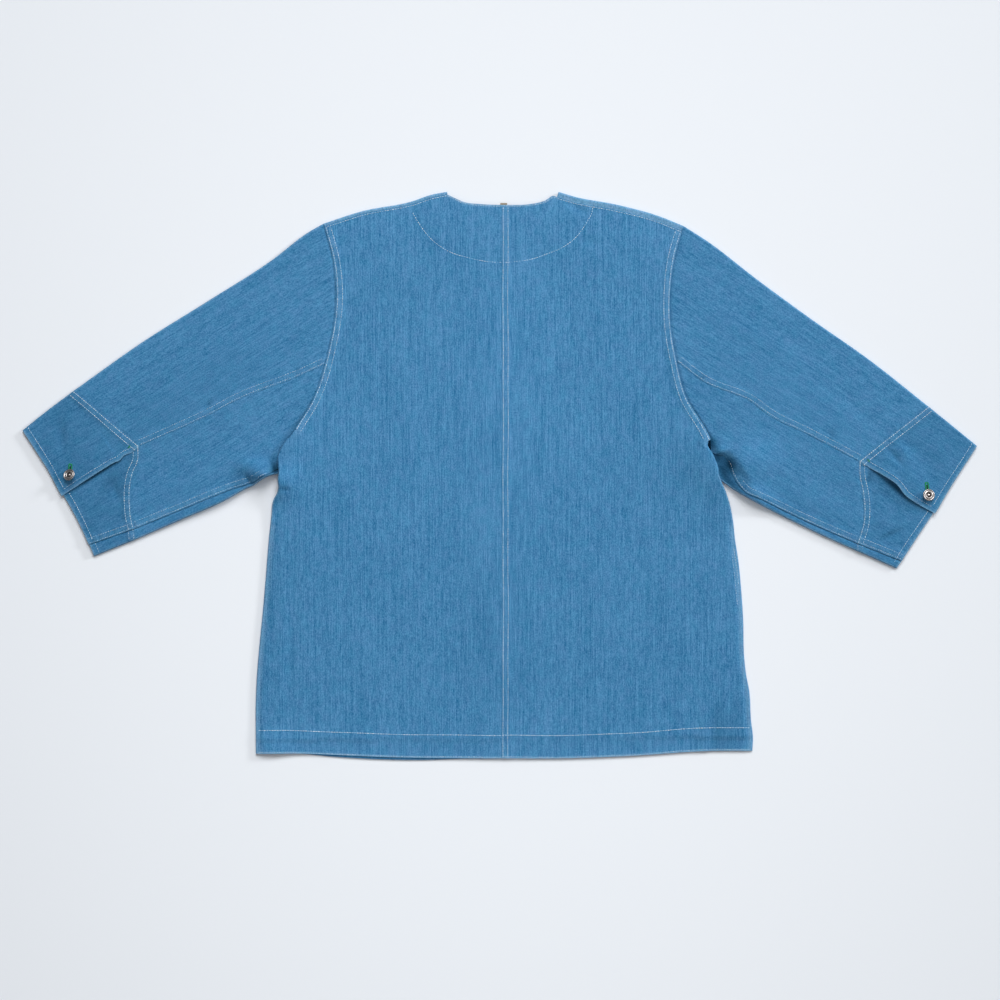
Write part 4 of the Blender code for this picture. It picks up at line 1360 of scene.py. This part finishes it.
for half in HALVES:
    rows = rows_beside(half, "felled_armhole", ROWS, EVEN)
    rows += rows_beside(half, "back_hem", [HEM_ROW], FULL)
    rows += rows_beside(half, "back_hem", [EDGE_ROW], FAINT)
    rows += rows_beside(half, "neck", [EDGE_ROW], FINE)
    rows += rows_beside(half, "shoulder_seam", [EDGE_ROW], EVEN)
    rows += [Row(half.lines["facing"], FULL)]
    if half.name == "right":
        rows += rows_beside(half, "centre", ROWS, EVEN)
        rows += [Row(smooth(row), FAINT) for row in SIDE_SEAM]
    sew(f"back_{half.name}", rows)
    hem_row = rows_beside(half, "front_hem", [HEM_ROW], EVEN)[0]
    past_lap = half.turn * (CENTRE_BACK - hem_row.path[:, 0]) > LAP
    rows = [hem_row._replace(path=hem_row.path[past_lap])]
    rows += rows_beside(half, "front_armhole", ROWS[:1], EVEN)
    if half.name == "right":
        rows += rows_beside(half, "front_edge", ROWS, EVEN)
    sew(f"front_{half.name}", rows, FRONT_LEVEL, -1)
    sew(f"top_sleeve_{half.name}", rows_beside(half, "back_seam", ROWS, FINE))
    rows = rows_beside(half, "underarm_seam", ROWS, FINE, UNDERARM_STARTS[half.name])
    sew(f"under_sleeve_{half.name}", rows)
    rows = rows_beside(half, "cuff_seam", ROWS, FULL, (0.5, 0.5), (-1.5, -3.5))
    rows += rows_beside(half, "seat_cuff_seam", ROWS, FINE, (-1.5, -1.5), (0.5, 0.5))
    rows += rows_beside(half, "vent", [TURN_ROW], TURNED, [8], [7])
    rows += rows_beside(half, "wrist_top", [WRIST_ROW], EVEN, [8], [-4])
    rows += rows_beside(half, "wrist_strip", [WRIST_ROW], TURNED)
    sew(f"cuff_top_{half.name}", rows)
    rows = rows_beside(half, "under_cuff_seam", ROWS, EVEN)
    rows += rows_beside(half, "cuff_underarm", ROWS, FINE)
    rows += rows_beside(half, "wrist_under", [WRIST_ROW], EVEN, [20])
    sew(f"cuff_under_{half.name}", rows)


# Neck loop
# A short plain tape sewn in under the centre back neck, with its folded end just above the edge.
TAPE_LIGHT = (0.40, 0.33, 0.24, 1)
TAPE_MIDDLE = (0.33, 0.28, 0.20, 1)
TAPE_GAPS = (0.2, 0.16, 0.11, 1)
tape, tape_tree, tape_shader = new_material("neck_tape", {"Roughness": 0.9})
tape_where = add_node(tape_tree, "ShaderNodeTexCoord", {}).outputs["Object"]
tape_colours = {"Color1": TAPE_LIGHT, "Color2": TAPE_MIDDLE, "Mortar": TAPE_GAPS}
tape_sizes = {"Vector": tape_where, "Scale": 900.0, "Mortar Size": 0.03}
weave = add_node(tape_tree, "ShaderNodeTexBrick", tape_colours | tape_sizes)
tape_tree.links.new(weave.outputs["Color"], tape_shader.inputs["Base Color"])
add_bump(tape_tree, tape_shader, weave.outputs["Fac"], strength=0.5, distance=0.0002)
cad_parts["neck_loop"].data.materials.clear()
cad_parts["neck_loop"].data.materials.append(tape)


# Buttonholes
# Worked in green thread through the upper cuff: two close satin bars round a slit, with a bar at its end,
# and one more bar tack across the top of each vent.
LEFT.update({"hole": [(-514.4, 13.4), (-516, -5)], "tack": (-444, 35, 53)})
RIGHT.update({"hole": [(512, -8.8), (514, -27.5)], "tack": (442.5, 18.5, 127)})
SATIN_WIDTH = 2.0
SATIN_PITCH = 0.42
SATIN_RADIUS = 0.28
SATIN_RISE = 0.05
SLIT_WIDTH = 1.3
SLIT_RISE = 0.04
SLIT_FIRST = 4
END_BAR_WIDTH = 1.9
END_BAR_BACK = 0.6
TACK_WIDTH = 1.7
BAR_MARGIN = 0.1
GREEN = thread_material("buttonhole_thread", (0.007, 0.28, 0.125, 1), (0.005, 0.17, 0.08, 1))
SLIT_DARK = new_material("slit_shadow", {"Base Color": (0.004, 0.008, 0.012, 1), "Roughness": 0.95})[0]


def satin(middles, across, width):
    """Stitches side by side across a line of middles."""
    return middles - across * width / 2, middles + across * width / 2


def bar_steps(reach):
    """Distances from the middle of a short bar to each of its stitches."""
    return np.arange(-reach, reach + BAR_MARGIN, SATIN_PITCH)[:, None]


for half in HALVES:
    name = f"cuff_top_{half.name}"
    top, bottom = np.array(half.cut["hole"], float)
    way = unit(bottom - top)
    across = aside(way)
    middles = top + way * np.arange(0, np.linalg.norm(bottom - top), SATIN_PITCH)[:, None]
    bars = []
    for hand in (-1, 1):
        bars.append(satin(middles + across * hand * (SATIN_WIDTH + SLIT_WIDTH) / 2, across, SATIN_WIDTH))
    end_bar = top + across * bar_steps(SATIN_WIDTH)
    bars.append(satin(end_bar - way * END_BAR_BACK, way, END_BAR_WIDTH))
    x, y, turn = half.cut["tack"]
    tack = np.array([x, y]) + heading(turn) * bar_steps(TACK_WIDTH)
    bars.append(satin(tack, aside(heading(turn)), TACK_WIDTH))
    sides = [np.concatenate(places) for places in zip(*bars)]
    starts, ends = (raised(place, cloth_height(name, place) + CLOTH / 2 + SATIN_RISE) for place in sides)
    thread_piece(f"buttonhole_{half.name}", starts, ends, 1, SATIN_RADIUS, GREEN)
    # A near-black sheet in each slit is painted shadow, where the opening lies in shade
    slit = middles[SLIT_FIRST:, None] + across * np.array([-1, 1])[:, None] * SLIT_WIDTH / 2
    slit = raised(slit, cloth_height(name, slit) + CLOTH / 2 + SLIT_RISE)
    quads = 2 * np.arange(len(slit) - 1)[:, None] + np.array([0, 1, 3, 2])
    slit_name = f"buttonhole_slit_{half.name}"
    slit_piece = add_object(slit_name, new_mesh(slit_name, slit, quads, SLIT_DARK))
    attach(slit_piece, "root")


# Buttons
# One cast metal button on each cuff, antique silver: a thick rim, a broad ring and a dark hollow round a
# small dome. Each stands a shank's height above the cloth and leans as the photo shows.
LEFT["button"] = (-514.8, 1.0, 27, 127)
RIGHT["button"] = (513.6, -23, 14, 45)
BUTTON_RADIUS = 7.2
BUTTON_STEPS = 48
# From the middle of the back round the rim to the middle of the face: distance out, height, and darkness
BUTTON_PROFILE = np.array([
    (0, 0, 0), (5.9, 0, 0), (6.8, 0.4, 0), (7.2, 1.0, 0), (7.2, 1.7, 0), (6.9, 2.15, 0), (6.4, 2.3, 0),
    (5.9, 2.15, 0), (5.6, 1.85, 0.45), (5.3, 1.8, 0.4), (4.9, 2.0, 0.05), (4.3, 2.15, 0), (3.6, 2.1, 0),
    (3.1, 1.85, 0.2), (2.8, 1.3, 0.9), (2.3, 1.0, 1), (1.8, 1.05, 0.9), (1.4, 1.35, 0.2), (0.8, 1.65, 0),
    (0, 1.75, 0),
])
SHANK_RISE = 2.0
LEAN_RISE = 0.55
STAINS = (700, 700, 700)
SILVER_DARK = (0.23, 0.21, 0.205, 1)
SILVER_LIGHT = (0.53, 0.50, 0.49, 1)
SILVER_HOLLOW = (0.018, 0.017, 0.017, 1)
silver, silver_tree, silver_shader = new_material("antique_silver", {"Metallic": 1.0, "Roughness": 0.36})
silver_where = add_node(silver_tree, "ShaderNodeTexCoord", {}).outputs["Object"]
stain = noise_of(silver_tree, silver_where, STAINS, 3.0)
stained = mixed_colour(silver_tree, stain, SILVER_DARK, SILVER_LIGHT)
darkened = mixed_colour(silver_tree, carried(silver_tree, "hollow", "Fac"), stained, SILVER_HOLLOW)
silver_tree.links.new(darkened, silver_shader.inputs["Base Color"])

out, rise, hollow = BUTTON_PROFILE.T
turns = np.linspace(0, 2 * np.pi, BUTTON_STEPS, endpoint=False)[:, None]
quads = np.roll(ring_quads(len(BUTTON_PROFILE), BUTTON_STEPS)[:, ::-1], 1, axis=1)
upright = np.array([0, 0, 1])
for half in HALVES:
    x, y, tilt, towards = half.cut["button"]
    base = cloth_height(f"cuff_top_{half.name}", np.array([[x, y]], float))[0] + CLOTH / 2
    lean = np.radians(tilt)
    ahead = np.append(heading(towards), 0)
    side = np.append(aside(heading(towards)), 0)
    normal = np.cos(lean) * upright + np.sin(lean) * ahead
    forward = np.cos(lean) * ahead - np.sin(lean) * upright
    middle = np.array([x, y, base + SHANK_RISE + LEAN_RISE * BUTTON_RADIUS * np.sin(lean)])
    spokes = np.cos(turns) * forward + np.sin(turns) * side
    points = out[:, None, None] * spokes + rise[:, None, None] * normal + middle
    button_name = f"cuff_button_{half.name}_turned"
    button_mesh = new_mesh(button_name, points, quads, silver)
    button_mesh.shade_smooth()
    carry(button_mesh, "hollow", np.repeat(hollow, BUTTON_STEPS))
    button = add_object(button_name, button_mesh)
    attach(button, "root")
    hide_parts(f"cuff_button_{half.name}")


# Floor, light and camera
# A plain pale surface under a soft studio light from beyond the neck, seen from straight above.
FLOOR_FINISH = {"Base Color": (0.777, 0.812, 0.858, 1), "Roughness": 0.9, "Specular IOR Level": 0.1}
FLOOR_REACH = 40000
FLOOR_GAP = 0.1
floor_corners = FLOOR_REACH * np.array([(-1, -1, 0), (1, -1, 0), (1, 1, 0), (-1, 1, 0)])
floor_material = new_material("pale_floor", FLOOR_FINISH)[0]
floor = add_object("floor", new_mesh("floor", floor_corners, np.array([(0, 1, 2, 3)]), floor_material))
floor.location.z = -FLOOR_GAP * MM

# Even light all round, and three soft boxes: place, the way each faces, size in metres, power in watts
WORLD_GREY = (0.185, 0.185, 0.185, 1)
world = bpy.data.worlds.new("studio")
world.use_nodes = True
world.node_tree.nodes["Background"].inputs["Color"].default_value = WORLD_GREY
bpy.context.scene.world = world


def soft_light(name, place, towards, size, power):
    """White soft box that faces along a direction."""
    light = bpy.data.lights.new(name, "AREA")
    light.shape = "RECTANGLE"
    light.size, light.size_y = size
    light.energy = power
    lamp = add_object(name, light)
    lamp.location = place
    lamp.rotation_euler = Vector(towards).to_track_quat("-Z", "Y").to_euler()


soft_light("key", (1.5, 8.9, 9.1), (-1.5, -8.9, -9.1), (7.4, 7.0), 1405)
soft_light("side", (15.3, 7.8, 5.2), (-15.3, -7.8, -5.2), (3.0, 2.6), 1700)
soft_light("overhead", (0, -0.15, 0.9), (0, 0, -1), (0.8, 1.6), 2.9)

# Where the camera stands, and the width of floor that it sees, in metres
CAMERA_X = 0.0006
CAMERA_Y = -0.0288
CAMERA_HEIGHT = 2.85
FRAME_WIDTH = 1.2012
SENSOR_WIDTH = 36
lens = bpy.data.cameras.new("camera")
lens.sensor_width = SENSOR_WIDTH
lens.lens = SENSOR_WIDTH * CAMERA_HEIGHT / FRAME_WIDTH
camera = add_object("camera", lens)
camera.location = (CAMERA_X, CAMERA_Y, CAMERA_HEIGHT)
bpy.context.scene.camera = camera
bpy.context.scene.view_settings.view_transform = "Standard"
